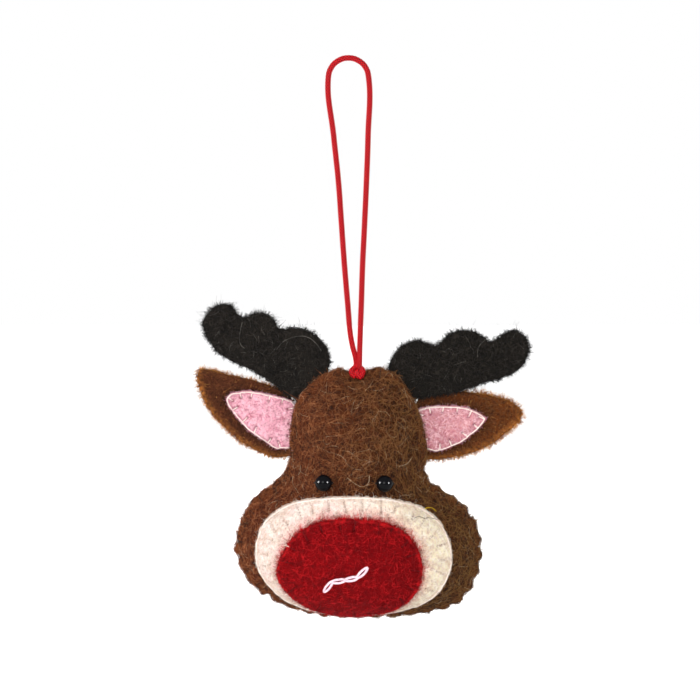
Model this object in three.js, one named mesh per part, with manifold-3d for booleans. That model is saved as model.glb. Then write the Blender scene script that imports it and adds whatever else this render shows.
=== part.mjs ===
// A stuffed wool-felt reindeer head hanging on a loop of red cord.
// Millimetres, +Z up, the face looks along -Y, and +X is to the viewer's right.
// The origin is the underside of the loop's crown, where a twig or hook carries it.

import * as THREE from 'three';
import { mergeVertices } from 'three/addons/utils/BufferGeometryUtils.js';
import Module from 'manifold-3d';

const wasm = await Module();
wasm.setup();

const { degToRad, lerp, smoothstep } = THREE.MathUtils;

// Driving dimensions: clearances
const LAYER_GAP = 0.3;
const SEAM_PLAY = LAYER_GAP / 2;
const FILLING_PLAY = 0.45;

// Driving dimensions: hanging cord
const CORD_DIAMETER = 1.5;
const LOOP_DROP = 93;
const LOOP_ARCH_RADIUS = 6;
const LOOP_STEP = 3.6;
const KNOT_SIDE_SHIFT = 2.65;
const KNOT_DIAMETER = 3.3;
const KNOT_WIDTH = 5.1;
const KNOT_LOBE_OVERLAP = 0.7;
const STRAND_GAP = 0.4;
const TAIL_SPACING = 2.7;
const TAIL_DROP = 5.4;
const TAIL_RUN = 3.2;
const STOPPER_WIDTH = 5.4;
const STOPPER_DIAMETER = 3.2;

// Driving dimensions: head, front and back felt and the filling
const HEAD_WIDTH = 75;
const HEAD_HEIGHT = 76.3;
const FELT_THICKNESS = 2;
const MUZZLE_BULGE = 18.5;
const BROW_BULGE = 14.5;
const BACK_BULGE = 4;
const PLUMP_RUN = 10.5;
const HANG_FORWARD = 5.3;
const KNOT_BELOW_TOP = 1.2;
const ROOT_DEPTH = 4;
const FILLING_INSET = 5.5;
const FELT_EDGE_ROUND = 0.4;
const SLOPE_SPAN = 0.4;

// Driving dimensions: patches sewn on the front felt
const PATCH_THICKNESS = 1.5;
const MUZZLE_HEIGHT = 38.7;
const MUZZLE_MARGIN_LEFT = 6.2;
const MUZZLE_MARGIN_RIGHT = 9.3;
const MUZZLE_MARGIN_BELOW = 1;
const NOSE_MARGIN_LEFT = 6.8;
const NOSE_MARGIN_RIGHT = 9.2;
const NOSE_MARGIN_ABOVE = 5.7;
const NOSE_MARGIN_BELOW = 0.9;

// Driving dimensions: bead eyes, by the spots on the felt that they rest on
const BEAD_DIAMETER = 5;
const BEAD_BORE = 1.2;
const EYE_SPACING = 15.55;
const EYE_SHIFT = -0.9;
const EYE_LIFT = 2.9;
const EYE_STITCH_REACH = 0.6;
const EYE_STITCH_SINK = 1.6;

// Driving dimensions: sewing threads
const THREAD_DIAMETER = 0.5;
const MOUTH_YARN_DIAMETER = 0.7;
const MOUTH_LINK_WIDTH = 2.2;
const STITCH_REACH = 4;
const PATCH_STITCH_PITCH = 6;
const EAR_STITCH_PITCH = 5.4;
const EAR_STITCH_REACH = 2.6;
const SEAM_STITCH_PITCH = 3.9;
const SEAM_STITCH_REACH = 3;
const SEAM_STITCH_LIFT = 0.6;

// Driving dimensions: ears, with the margins that the pink felt leaves free, and antlers
const EAR_THICKNESS = 2;
const EAR_CURL_DEPTH = 3;
const INNER_EAR_THICKNESS = 1.2;
const INNER_EAR_ROOT = 1.5;
const LEFT_EAR_LENGTH = 28.6;
const LEFT_EAR_HEIGHT = 27.3;
const LEFT_EAR_TIP_MARGIN = 8.8;
const LEFT_EAR_UPPER_MARGIN = 6.8;
const LEFT_EAR_LOWER_MARGIN = 2.3;
const RIGHT_EAR_LENGTH = 30.3;
const RIGHT_EAR_HEIGHT = 21.2;
const RIGHT_EAR_TIP_MARGIN = 11;
const RIGHT_EAR_UPPER_MARGIN = 4.4;
const RIGHT_EAR_LOWER_MARGIN = 2.55;
const ANTLER_THICKNESS = 2.4;
const LEFT_ANTLER_SPAN = 38.1;
const LEFT_ANTLER_RISE = 28.6;
const RIGHT_ANTLER_SPAN = 42.1;
const RIGHT_ANTLER_RISE = 20.4;

// Shape of the head: places as shares of its height, and unitless powers of its swell
const HEAD_CENTRE_SHARE = 0.59;
const BROW_SHARE = 0.29;
const CHEEK_SHARE = 0.655;
const SAG_START_SHARE = 0.445;
const SAG_FULL_SHARE = 0.786;
const SAG_SHARE = 0.12;
const OPENING_START_SHARE = 0.5;
const OPENING_FULL_SHARE = 0.9;
const FIRST_CORNER_SHARE = 0.15;
const LIP_POWER = 2;
const NEARLY_ON_LINE_SHARE = 1e-6;
const MAX_STRETCH = 1.7;
const ANTLER_MARGIN_DEGREES = 3;
const EAR_MARGIN_DEGREES = 6;
const ROOT_FADE_DEGREES = 6;
const TOP_DEGREES = 90;
const CROWN_END_DEGREES = 1.5;
const JAW_END_DEGREES = 4;

// Head outline, clockwise from the top: shares of the width from the middle and of the height down
const HEAD_OUTLINE_SHARES = [
  [0, 0], [0.123, 0.004], [0.203, 0.087], [0.256, 0.206], [0.279, 0.347], [0.265, 0.422],
  [0.321, 0.478], [0.427, 0.55], [0.484, 0.634], [0.501, 0.734], [0.485, 0.831], [0.44, 0.914],
  [0.364, 0.962], [0.173, 0.995], [0, 1], [-0.152, 0.991], [-0.269, 0.962], [-0.363, 0.914],
  [-0.452, 0.84], [-0.492, 0.721], [-0.467, 0.608], [-0.419, 0.527], [-0.325, 0.455],
  [-0.271, 0.387], [-0.269, 0.275], [-0.244, 0.136], [-0.163, 0.039], [-0.075, 0],
];

// Patch outlines, clockwise: shares of the patch's width and height from its middle
const MUZZLE_OUTLINE_SHARES = [
  [-0.5, 0.05], [-0.453, 0.273], [-0.308, 0.43], [-0.117, 0.49], [0.093, 0.495], [0.285, 0.435],
  [0.437, 0.286], [0.5, 0.076], [0.469, -0.156], [0.359, -0.345], [0.188, -0.461],
  [-0.007, -0.5], [-0.185, -0.459], [-0.354, -0.35], [-0.471, -0.133],
];
const NOSE_OUTLINE_SHARES = [
  [-0.5, 0.02], [-0.42, 0.285], [-0.242, 0.456], [0.005, 0.5], [0.265, 0.46], [0.445, 0.307],
  [0.5, 0.064], [0.44, -0.195], [0.27, -0.4], [0.005, -0.5], [-0.26, -0.394], [-0.44, -0.173],
];
const MOUTH_SHARES = [
  [-0.174, -0.12], [-0.119, -0.014], [-0.03, 0.005], [0.053, 0.03], [0.121, 0.12],
];

// Ears and antlers: side is -1 on the viewer's left, and angles are seen from the head's middle.
// Outline shares run outwards from the seam and upwards from it, of the length and of the height.
const EARS = {
  left: {
    side: -1, rootFrom: 120, rootTo: 136, anchorAngle: 128,
    length: LEFT_EAR_LENGTH,
    height: LEFT_EAR_HEIGHT,
    tipMargin: LEFT_EAR_TIP_MARGIN,
    upperMargin: LEFT_EAR_UPPER_MARGIN,
    lowerMargin: LEFT_EAR_LOWER_MARGIN,
    outlineShares: [
      [-0.014, 0.335], [0.039, 0.424], [0.165, 0.48], [0.345, 0.541], [0.487, 0.588], [0.64, 0.613],
      [0.767, 0.658], [0.894, 0.696], [0.975, 0.7], [1, 0.66], [0.986, 0.546], [0.937, 0.385],
      [0.874, 0.249], [0.769, 0.099], [0.643, -0.033], [0.517, -0.143], [0.348, -0.234],
      [0.196, -0.304], [0.05, -0.3], [-0.002, -0.245],
    ],
    innerShares: [
      [-0.03, 0.33], [0.05, 0.366], [0.237, 0.416], [0.419, 0.459], [0.601, 0.502], [0.823, 0.486],
      [0.97, 0.436], [1, 0.315], [0.934, 0.215], [0.843, 0.072], [0.717, -0.094], [0.53, -0.254],
      [0.348, -0.392], [0.202, -0.498], [0.03, -0.44],
    ],
  },
  right: {
    side: 1, rootFrom: 42, rootTo: 60, anchorAngle: 54.3,
    length: RIGHT_EAR_LENGTH,
    height: RIGHT_EAR_HEIGHT,
    tipMargin: RIGHT_EAR_TIP_MARGIN,
    upperMargin: RIGHT_EAR_UPPER_MARGIN,
    lowerMargin: RIGHT_EAR_LOWER_MARGIN,
    outlineShares: [
      [0, 0.472], [0.152, 0.5], [0.305, 0.487], [0.49, 0.466], [0.67, 0.432], [0.847, 0.366],
      [0.966, 0.267], [1, 0.2], [0.978, 0.07], [0.849, -0.096], [0.708, -0.261], [0.556, -0.374],
      [0.38, -0.447], [0.202, -0.492], [0.05, -0.5], [0, -0.47],
    ],
    innerShares: [
      [-0.06, 0.42], [0.141, 0.479], [0.405, 0.5], [0.681, 0.451], [0.87, 0.367], [1, 0.269],
      [0.984, 0.15], [0.854, -0.045], [0.703, -0.22], [0.519, -0.367], [0.33, -0.465],
      [0.184, -0.5], [0.03, -0.42],
    ],
  },
};
const ANTLERS = {
  left: {
    side: -1, rootFrom: 102, rootTo: 114, anchorAngle: 110,
    span: LEFT_ANTLER_SPAN,
    rise: LEFT_ANTLER_RISE,
    outlineShares: [
      [-0.15, 0.17], [-0.159, 0.31], [-0.11, 0.433], [-0.034, 0.535], [0.05, 0.585],
      [0.146, 0.598], [0.226, 0.563], [0.266, 0.647], [0.325, 0.738], [0.4, 0.762], [0.468, 0.738],
      [0.525, 0.692], [0.57, 0.75], [0.618, 0.84], [0.675, 0.859], [0.745, 0.825], [0.81, 0.738],
      [0.84, 0.636], [0.82, 0.535], [0.782, 0.434], [0.708, 0.33], [0.602, 0.254], [0.507, 0.189],
      [0.402, 0.113], [0.288, 0.012], [0.175, -0.105], [0.1, -0.16],
    ],
  },
  right: {
    side: 1, rootFrom: 78, rootTo: 66, anchorAngle: 70,
    span: RIGHT_ANTLER_SPAN,
    rise: RIGHT_ANTLER_RISE,
    outlineShares: [
      [-0.114, 0.26], [-0.098, 0.36], [-0.065, 0.496], [0, 0.614], [0.074, 0.666],
      [0.155, 0.634], [0.221, 0.58], [0.277, 0.682], [0.343, 0.792], [0.424, 0.817], [0.506, 0.792],
      [0.563, 0.716], [0.605, 0.634], [0.669, 0.7], [0.727, 0.792], [0.784, 0.817], [0.849, 0.751],
      [0.885, 0.634], [0.886, 0.48], [0.851, 0.327], [0.786, 0.209], [0.688, 0.107], [0.565, 0.038],
      [0.443, -0.046], [0.337, -0.098], [0.238, -0.139], [0.139, -0.179], [0.075, -0.18],
    ],
  },
};

// Route of the two strands, from the knot up to the arch, as x and height below the arch's ends
const LEFT_STRAND = [
  [1.1, 79.6], [0.55, 76], [-0.15, 68], [-1.2, 55.5], [-2.1, 43], [-3, 30.5], [-4.35, 17.5],
];
const RIGHT_STRAND = [
  [3.35, 79.6], [3.5, 76], [3.8, 68], [4.2, 55.5], [4.8, 43], [5.35, 30.5], [5.8, 17.5],
];

// Counts
const ARCH_POINTS = 7;
const EAR_POINTS = 32;
const ANTLER_POINTS = 54;
const THREAD_SIDES = 4;
const SPUR_SIDES = 3;
const CORD_SIDES = 8;
const PANEL_RING_SHARES = [0.2, 0.38, 0.54, 0.68, 0.81, 0.9, 0.96, 1];
const BACK_RING_SHARES = [0.35, 0.62, 0.81, 0.93, 1];
const FILLING_RING_SHARES = [0.25, 0.48, 0.68, 0.85, 1];
const PATCH_RING_SHARES = [0.25, 0.48, 0.7, 0.86, 0.97, 1];
const SHEET_RING_SHARES = [0.55, 0.96, 1];

// Finishes
const finish = (color, roughness, metalness = 0) =>
  new THREE.MeshStandardMaterial({ color, roughness, metalness });
const FINISHES = {
  brownFelt: finish('#56331f', 0.95),
  creamFelt: finish('#efe0c8', 0.95),
  redFelt: finish('#800e11', 0.95),
  pinkFelt: finish('#e3a5b0', 0.95),
  blackFelt: finish('#22201d', 0.95),
  filling: finish('#efeae0', 1),
  brownThread: finish('#4a2c1a', 0.8),
  creamThread: finish('#f3e6d6', 0.8),
  redThread: finish('#7a0d10', 0.8),
  pinkYarn: finish('#f5cde1', 0.8),
  darkThread: finish('#1c1a19', 0.8),
  redCord: finish('#db2830', 0.6),
  bead: finish('#0b0b0d', 0.08),
};

// Solids: a closed geometry becomes a solid for a cut or a join, and comes back as a geometry.
function toSolid(geometry) {
  const bare = geometry.clone();
  bare.deleteAttribute('normal');
  bare.deleteAttribute('uv');
  const merged = mergeVertices(bare);
  const mesh = new wasm.Mesh({
    numProp: 3,
    vertProperties: new Float32Array(merged.attributes.position.array),
    triVerts: new Uint32Array(merged.index.array),
  });
  return new wasm.Manifold(mesh);
}

function fromSolid(solid) {
  const mesh = solid.getMesh();
  const geometry = new THREE.BufferGeometry();
  geometry.setAttribute('position', new THREE.BufferAttribute(mesh.vertProperties, 3));
  geometry.setIndex(new THREE.BufferAttribute(mesh.triVerts, 1));
  geometry.computeVertexNormals();
  return geometry;
}

const joined = (geometries) =>
  fromSolid(geometries.map(toSolid).reduce((whole, next) => whole.add(next)));

const cutBy = (geometry, cutters) =>
  fromSolid(cutters.map(toSolid).reduce((rest, cutter) => rest.subtract(cutter), toSolid(geometry)));

// Curves and tubes
const flatPoint = ([x, z]) => new THREE.Vector3(x, 0, z);

function closedOutline(points, count) {
  const curve = new THREE.CatmullRomCurve3(points.map(flatPoint), true, 'catmullrom');
  return curve.getSpacedPoints(count).slice(0, count);
}

// Outline points at the stitches' pitch, so that a stitch starts on a point of the sheet's edge
function stitchedOutline(points, pitch) {
  const curve = new THREE.CatmullRomCurve3(points.map(flatPoint), true, 'catmullrom');
  return closedOutline(points, Math.round(curve.getLength() / pitch));
}

function circleShape(radius, sides) {
  const corners = Array.from({ length: sides }, (_, i) => {
    const turn = (2 * Math.PI * (i + FIRST_CORNER_SHARE)) / sides;
    return new THREE.Vector2(radius * Math.cos(turn), radius * Math.sin(turn));
  });
  return new THREE.Shape(corners);
}

function tube(points, diameter, sides, steps) {
  return new THREE.ExtrudeGeometry(circleShape(diameter / 2, sides), {
    steps,
    bevelEnabled: false,
    extrudePath: new THREE.CatmullRomCurve3(points),
  });
}

// A thread's path runs straight from point to point and has a ring on each of them.
class ThreadPath extends THREE.Curve {
  constructor(points) {
    super();
    this.points = points;
  }

  getPoint(t) {
    const place = t * (this.points.length - 1);
    const from = Math.min(Math.floor(place), this.points.length - 2);
    return this.points[from].clone().lerp(this.points[from + 1], place - from);
  }

  getPointAt(u) {
    return this.getPoint(u);
  }

  getTangentAt(u) {
    const nearest = Math.round(u * (this.points.length - 1));
    const after = this.points[Math.min(nearest + 1, this.points.length - 1)];
    return after.clone().sub(this.points[Math.max(nearest - 1, 0)]).normalize();
  }
}

const thread = (points, sides) =>
  new THREE.ExtrudeGeometry(circleShape(THREAD_DIAMETER / 2, sides), {
    steps: points.length - 1,
    bevelEnabled: false,
    extrudePath: new ThreadPath(points),
  });

// The head's own frame: the seam plane is y = 0 and the top of the seam is z = 0.
const headCentreZ = -HEAD_CENTRE_SHARE * HEAD_HEIGHT;
const headOutline = stitchedOutline(
  HEAD_OUTLINE_SHARES.map(([x, down]) => [x * HEAD_WIDTH, -down * HEAD_HEIGHT]),
  SEAM_STITCH_PITCH,
);

const headMiddle = { x: 0, z: headCentreZ };

// Distance from a middle to an outline round it at an angle, straight between outline points
function reachFrom(middle, outline) {
  const rims = outline
    .map((p) => ({ angle: Math.atan2(p.z - middle.z, p.x - middle.x), point: p }))
    .sort((a, b) => a.angle - b.angle);
  return (angle) => {
    const after = rims.findIndex((rim) => rim.angle > angle);
    const next = rims[after < 0 ? 0 : after].point;
    const last = rims[after <= 0 ? rims.length - 1 : after - 1].point;
    const along = new THREE.Vector2(next.x - last.x, next.z - last.z);
    const ray = new THREE.Vector2(Math.cos(angle), Math.sin(angle));
    const start = new THREE.Vector2(last.x - middle.x, last.z - middle.z);
    return start.cross(along) / ray.cross(along);
  };
}

const headReach = reachFrom(headMiddle, headOutline);

function headRimPoint(degrees, inset) {
  const angle = degToRad(degrees);
  const reach = headReach(angle) - inset;
  return new THREE.Vector3(reach * Math.cos(angle), 0, headCentreZ + reach * Math.sin(angle));
}

// The seam opens where ears and antlers are sewn between the two felts.
function openingAt(angle, roots, opening, margin) {
  const degrees = THREE.MathUtils.radToDeg(angle);
  const shares = roots.map(({ rootFrom, rootTo }) => {
    const middle = (rootFrom + rootTo) / 2;
    const half = Math.abs(rootTo - rootFrom) / 2;
    const flat = half + margin;
    return 1 - smoothstep(Math.abs(degrees - middle), flat, flat + ROOT_FADE_DEGREES);
  });
  return opening * Math.max(...shares);
}

const antlerRoots = Object.values(ANTLERS);
const earRoots = Object.values(EARS);
const antlerOpening = ANTLER_THICKNESS + LAYER_GAP;
const innerEarOpening = INNER_EAR_THICKNESS + LAYER_GAP;
const earOpening = EAR_THICKNESS + LAYER_GAP;

const downShare = (z) => -z / HEAD_HEIGHT;

const front = {
  bulge: (z) => lerp(BROW_BULGE, MUZZLE_BULGE, smoothstep(downShare(z), BROW_SHARE, CHEEK_SHARE)),
  opening: (angle) => Math.max(
    openingAt(angle, antlerRoots, antlerOpening, ANTLER_MARGIN_DEGREES),
    openingAt(angle, earRoots, innerEarOpening, EAR_MARGIN_DEGREES),
  ),
};
const back = {
  bulge: () => BACK_BULGE,
  opening: (angle) => openingAt(angle, earRoots, earOpening, EAR_MARGIN_DEGREES),
};

// Distance inwards from the seam, smooth across the head: each stretch of the outline adds its
// pull, which falls with the cube of the distance, and a straight seam gives the true distance.
function seamDistance(x, z) {
  const place = new THREE.Vector3(x, 0, z);
  let pull = 0;
  for (const [i, from] of headOutline.entries()) {
    const to = headOutline[(i + 1) % headOutline.length];
    const along = to.clone().sub(from);
    const length = along.length();
    const passed = place.clone().sub(from).dot(along) / length;
    const toStart = place.distanceTo(from);
    const toEnd = place.distanceTo(to);
    if (Math.min(toStart, toEnd) === 0) return 0;
    const off = Math.max(toStart ** 2 - passed ** 2, length ** 2 * NEARLY_ON_LINE_SHARE);
    pull += ((length - passed) / toEnd + passed / toStart) / off;
  }
  return Math.sqrt(2 / pull);
}

// Height of the filling's surface over the seam plane: it lifts softly off the seam, then rounds over
function swell(side, x, z) {
  const angle = Math.atan2(z - headCentreZ, x);
  const share = Math.hypot(x, z - headCentreZ) / headReach(angle);
  const distance = share < 1 ? seamDistance(x, z) : 0;
  const plump = 1 - Math.exp(-((distance / PLUMP_RUN) ** LIP_POWER));
  const opened = smoothstep(share, OPENING_START_SHARE, OPENING_FULL_SHARE);
  return side.bulge(z) * plump + side.opening(angle) * opened;
}

function swellSlope(side, x, z) {
  const rise = (dx, dz) => swell(side, x + dx, z + dz) - swell(side, x - dx, z - dz);
  return { x: rise(SLOPE_SPAN, 0) / (2 * SLOPE_SPAN), z: rise(0, SLOPE_SPAN) / (2 * SLOPE_SPAN) };
}

// Height of a layer that lies a given distance off the filling, measured square to the slope
function layerHeight(side, x, z, distance) {
  const slope = swellSlope(side, x, z);
  const stretch = Math.min(MAX_STRETCH, Math.hypot(1, slope.x, slope.z));
  return swell(side, x, z) + distance * stretch;
}

const sagAt = (z) => SAG_SHARE * smoothstep(downShare(z), SAG_START_SHARE, SAG_FULL_SHARE);

function frontPoint(x, z, distance) {
  const depth = layerHeight(front, x, z, distance);
  return new THREE.Vector3(x, -depth, z - sagAt(z) * depth);
}

const backPoint = (x, z, distance) => new THREE.Vector3(x, layerHeight(back, x, z, distance), z);

// Layers over the front of the filling, as distances off it
const feltInner = SEAM_PLAY;
const feltOuter = feltInner + FELT_THICKNESS;
const muzzleInner = feltOuter + LAYER_GAP;
const muzzleOuter = muzzleInner + PATCH_THICKNESS;
const noseInner = muzzleOuter + LAYER_GAP;
const noseOuter = noseInner + PATCH_THICKNESS;
const threadSeat = LAYER_GAP + THREAD_DIAMETER / 2;

// A sheet or cushion: rings shrink from the rim to the centre on both faces, closed round the rim.
function padGeometry(rim, centre, ringShares, outerAt, innerAt) {
  const positions = [];
  const indices = [];
  const place = (point) => positions.push(point.x, point.y, point.z) / 3 - 1;
  const ring = (share, at) => rim.map((p) =>
    place(at(lerp(centre.x, p.x, share), lerp(centre.z, p.z, share), share === 1)));
  const bridge = (ringA, ringB) => ringA.forEach((a, i) => {
    const j = (i + 1) % ringA.length;
    indices.push(a, ringB[i], ringB[j], a, ringB[j], ringA[j]);
  });
  const face = (at) => {
    const tip = place(at(centre.x, centre.z, false));
    const rings = ringShares.map((share) => ring(share, at));
    rings[0].forEach((a, i) => indices.push(tip, a, rings[0][(i + 1) % rim.length]));
    rings.slice(1).forEach((outer, i) => bridge(rings[i], outer));
    return rings.at(-1);
  };
  const outerRim = face(outerAt);
  const turned = indices.length;
  const innerRim = face(innerAt);
  const reversed = indices.splice(turned).reverse();
  indices.push(...reversed);
  bridge(outerRim, innerRim);
  return facingOut(positions, indices);
}

function facingOut(positions, indices) {
  const corner = (i) => new THREE.Vector3().fromArray(positions, 3 * i);
  let sixVolumes = 0;
  for (let i = 0; i < indices.length; i += 3) {
    const [a, b, c] = indices.slice(i, i + 3).map(corner);
    sixVolumes += a.dot(b.cross(c));
  }
  const geometry = new THREE.BufferGeometry();
  geometry.setAttribute('position', new THREE.Float32BufferAttribute(positions, 3));
  geometry.setIndex(sixVolumes > 0 ? indices : indices.reverse());
  geometry.computeVertexNormals();
  return geometry;
}

// Outlines of the patches, in the head's frame
const cheekLeft = Math.min(...headOutline.map((p) => p.x));
const cheekRight = Math.max(...headOutline.map((p) => p.x));
const boxBetween = (left, right, top, bottom) => ({
  x: (left + right) / 2, z: (top + bottom) / 2, width: right - left, height: top - bottom,
  left, right, top, bottom,
});
const muzzleBottom = -HEAD_HEIGHT + MUZZLE_MARGIN_BELOW;
const muzzleBox = boxBetween(
  cheekLeft + MUZZLE_MARGIN_LEFT,
  cheekRight - MUZZLE_MARGIN_RIGHT,
  muzzleBottom + MUZZLE_HEIGHT,
  muzzleBottom,
);
const noseBox = boxBetween(
  muzzleBox.left + NOSE_MARGIN_LEFT,
  muzzleBox.right - NOSE_MARGIN_RIGHT,
  muzzleBox.top - NOSE_MARGIN_ABOVE,
  muzzleBox.bottom + NOSE_MARGIN_BELOW,
);
const inBox = (box, [u, v]) => [box.x + u * box.width, box.z + v * box.height];

const muzzleRim = stitchedOutline(
  MUZZLE_OUTLINE_SHARES.map((share) => inBox(muzzleBox, share)), PATCH_STITCH_PITCH / 2);
const noseRim = stitchedOutline(
  NOSE_OUTLINE_SHARES.map((share) => inBox(noseBox, share)), PATCH_STITCH_PITCH / 2);

function patchGeometry(rim, box, inner, outer) {
  return padGeometry(
    rim, box, PATCH_RING_SHARES,
    (x, z, atRim) => frontPoint(x, z, outer - (atRim ? FELT_EDGE_ROUND : 0)),
    (x, z) => frontPoint(x, z, inner),
  );
}

// A point beside a rim point, moved outwards from the sheet by a distance, or inwards if negative
function beside(rim, index, distance, middle) {
  const last = rim[(index + rim.length - 1) % rim.length];
  const next = rim[(index + 1) % rim.length];
  const out = new THREE.Vector3(last.z - next.z, 0, next.x - last.x).normalize();
  const outward = rim[index].clone().sub(new THREE.Vector3(middle.x, 0, middle.z));
  if (out.dot(outward) < 0) out.negate();
  return rim[index].clone().addScaledVector(out, distance);
}

// Blanket stitch: a thread beside the rim, with a short bar over the edge at every other point.
// Base and top are the distances of the two surfaces, and at places a point at a distance.
function blanketStitch(rim, middle, indices, base, top, reach, at) {
  const spot = (index, out, distance) => {
    const p = beside(rim, index, out, middle);
    return at(p.x, p.z, distance);
  };
  const rail = thread(indices.map((i) => spot(i, threadSeat, base + threadSeat)), THREAD_SIDES);
  const bars = indices.filter((_, i) => i % 2 === 1).map((i) => thread([
    spot(i, threadSeat, base + LAYER_GAP),
    spot(i, threadSeat, top + threadSeat),
    spot(i, -reach / 2, top + threadSeat),
    spot(i, -reach, top + threadSeat),
  ], SPUR_SIDES));
  return joined([rail, ...bars]);
}

const allAround = (rim) => rim.map((_, i) => i);

// Rim points above a height, in order round the rim, starting after the part that is left out
function openRun(rim, keep) {
  const kept = allAround(rim).filter((i) => keep(rim[i]));
  const start = kept.findIndex((i) => !kept.includes((i + rim.length - 1) % rim.length));
  return [...kept.slice(start), ...kept.slice(0, start)];
}

// Cord: the knot and its tails, in the head's frame
const pivot = new THREE.Vector3(0, -HANG_FORWARD, -KNOT_BELOW_TOP);
const knotRadius = KNOT_DIAMETER / 2;
const tailStart = (knotRadius + LAYER_GAP) * Math.SQRT1_2;

function tailPoints(side) {
  const x = (side * TAIL_SPACING) / 2;
  const spot = (y, z) => new THREE.Vector3(x, pivot.y + y, pivot.z + z);
  return [
    spot(tailStart, -tailStart),
    spot(lerp(tailStart, TAIL_RUN, 0.6), -lerp(tailStart, TAIL_DROP, 0.4)),
    spot(TAIL_RUN, -TAIL_DROP),
    spot(TAIL_RUN, -TAIL_DROP - STOPPER_DIAMETER / 2),
  ];
}

function stopperGeometry(growth) {
  const geometry = new THREE.SphereGeometry(STOPPER_DIAMETER / 2 + growth, 12, 8);
  geometry.scale((STOPPER_WIDTH + 2 * growth) / (STOPPER_DIAMETER + 2 * growth), 1, 1);
  geometry.translate(0, pivot.y + TAIL_RUN, pivot.z - TAIL_DROP - STOPPER_DIAMETER / 2);
  return geometry;
}

const tailTubes = (growth) => [-1, 1].map((side) =>
  tube(tailPoints(side), CORD_DIAMETER + 2 * growth, CORD_SIDES, 4));

// Two round lobes side by side, turned about the axis on which the head swings
function knotGeometry() {
  const lobeHalf = KNOT_WIDTH / 4 + KNOT_LOBE_OVERLAP / 2;
  const lobeMiddle = KNOT_WIDTH / 2 - lobeHalf;
  const rings = 10;
  const profile = Array.from({ length: rings + 1 }, (_, i) => {
    const along = lerp(-KNOT_WIDTH / 2, KNOT_WIDTH / 2, i / rings);
    const offset = Math.abs(Math.abs(along) - lobeMiddle) / lobeHalf;
    return new THREE.Vector2(knotRadius * Math.sqrt(Math.max(0, 1 - offset ** 2)), along);
  });
  return new THREE.LatheGeometry(profile, 12).rotateZ(-Math.PI / 2);
}

function loopGeometry() {
  const archEndZ = CORD_DIAMETER / 2 - LOOP_ARCH_RADIUS;
  const strandX = (CORD_DIAMETER + STRAND_GAP) / 2;
  const strandEnd = (side) => [
    KNOT_SIDE_SHIFT + side * strandX, archEndZ + LOOP_DROP - knotRadius - LAYER_GAP];
  const hung = ([x, down]) => new THREE.Vector3(x, 0, archEndZ - down);
  const arch = Array.from({ length: ARCH_POINTS }, (_, i) => {
    const turn = Math.PI * (1 - i / (ARCH_POINTS - 1));
    return new THREE.Vector3(
      LOOP_ARCH_RADIUS * Math.cos(turn), 0, archEndZ + LOOP_ARCH_RADIUS * Math.sin(turn));
  });
  const route = [
    ...[strandEnd(-1), ...LEFT_STRAND].map(hung),
    ...arch,
    ...[strandEnd(1), ...RIGHT_STRAND].map(hung).reverse(),
  ];
  const length = new THREE.CatmullRomCurve3(route).getLength();
  return tube(route, CORD_DIAMETER, CORD_SIDES, Math.round(length / LOOP_STEP));
}

// Eyes: a bead rests on the front felt, held by a thread through its bore and back into the felt.
const eyeLevel = muzzleBox.top + EYE_LIFT;

function eyeCentre(side) {
  const x = EYE_SHIFT + (side * EYE_SPACING) / 2;
  const slope = swellSlope(front, x, eyeLevel);
  const out = new THREE.Vector3(-slope.x, -1, -slope.z).normalize();
  return frontPoint(x, eyeLevel, feltOuter).addScaledVector(out, LAYER_GAP + BEAD_DIAMETER / 2);
}

function beadGeometry() {
  const bore = new THREE.CylinderGeometry(BEAD_BORE / 2, BEAD_BORE / 2, 2 * BEAD_DIAMETER, 8);
  return cutBy(new THREE.SphereGeometry(BEAD_DIAMETER / 2, 16, 10), [bore]).rotateZ(Math.PI / 2);
}

function eyeThreadPoints(centre) {
  const legX = BEAD_DIAMETER / 2 + EYE_STITCH_REACH;
  const feltBack = BEAD_DIAMETER / 2 + LAYER_GAP + FELT_THICKNESS;
  const spot = (x, y) => centre.clone().add(new THREE.Vector3(x, y, 0));
  return [
    spot(-legX, feltBack + EYE_STITCH_SINK), spot(-legX, BEAD_DIAMETER / 2),
    spot(-BEAD_DIAMETER / 2, 0), spot(0, 0), spot(BEAD_DIAMETER / 2, 0),
    spot(legX, BEAD_DIAMETER / 2), spot(legX, feltBack + EYE_STITCH_SINK),
  ];
}

const eyeThreadTube = (centre, growth) =>
  tube(eyeThreadPoints(centre), THREAD_DIAMETER + 2 * growth, CORD_SIDES - 2, 16);

// Chain stitch of the mouth: each link is two strands that bow apart and meet at both ends.
function mouthGeometry() {
  const knots = MOUTH_SHARES.map((share) => inBox(noseBox, share));
  const seat = noseOuter + LAYER_GAP + MOUTH_YARN_DIAMETER / 2;
  const bow = (MOUTH_LINK_WIDTH - MOUTH_YARN_DIAMETER) / 2;
  const strand = (from, to, side) => {
    const along = new THREE.Vector2(to[0] - from[0], to[1] - from[1]);
    const across = new THREE.Vector2(-along.y, along.x).normalize().multiplyScalar(side * bow);
    const points = [0, 0.25, 0.5, 0.75, 1].map((t) => frontPoint(
      from[0] + along.x * t + across.x * Math.sin(Math.PI * t),
      from[1] + along.y * t + across.y * Math.sin(Math.PI * t),
      seat,
    ));
    return tube(points, MOUTH_YARN_DIAMETER, 5, 4);
  };
  const links = knots.slice(1).flatMap((to, i) => [strand(knots[i], to, 1), strand(knots[i], to, -1)]);
  return joined(links);
}

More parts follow.
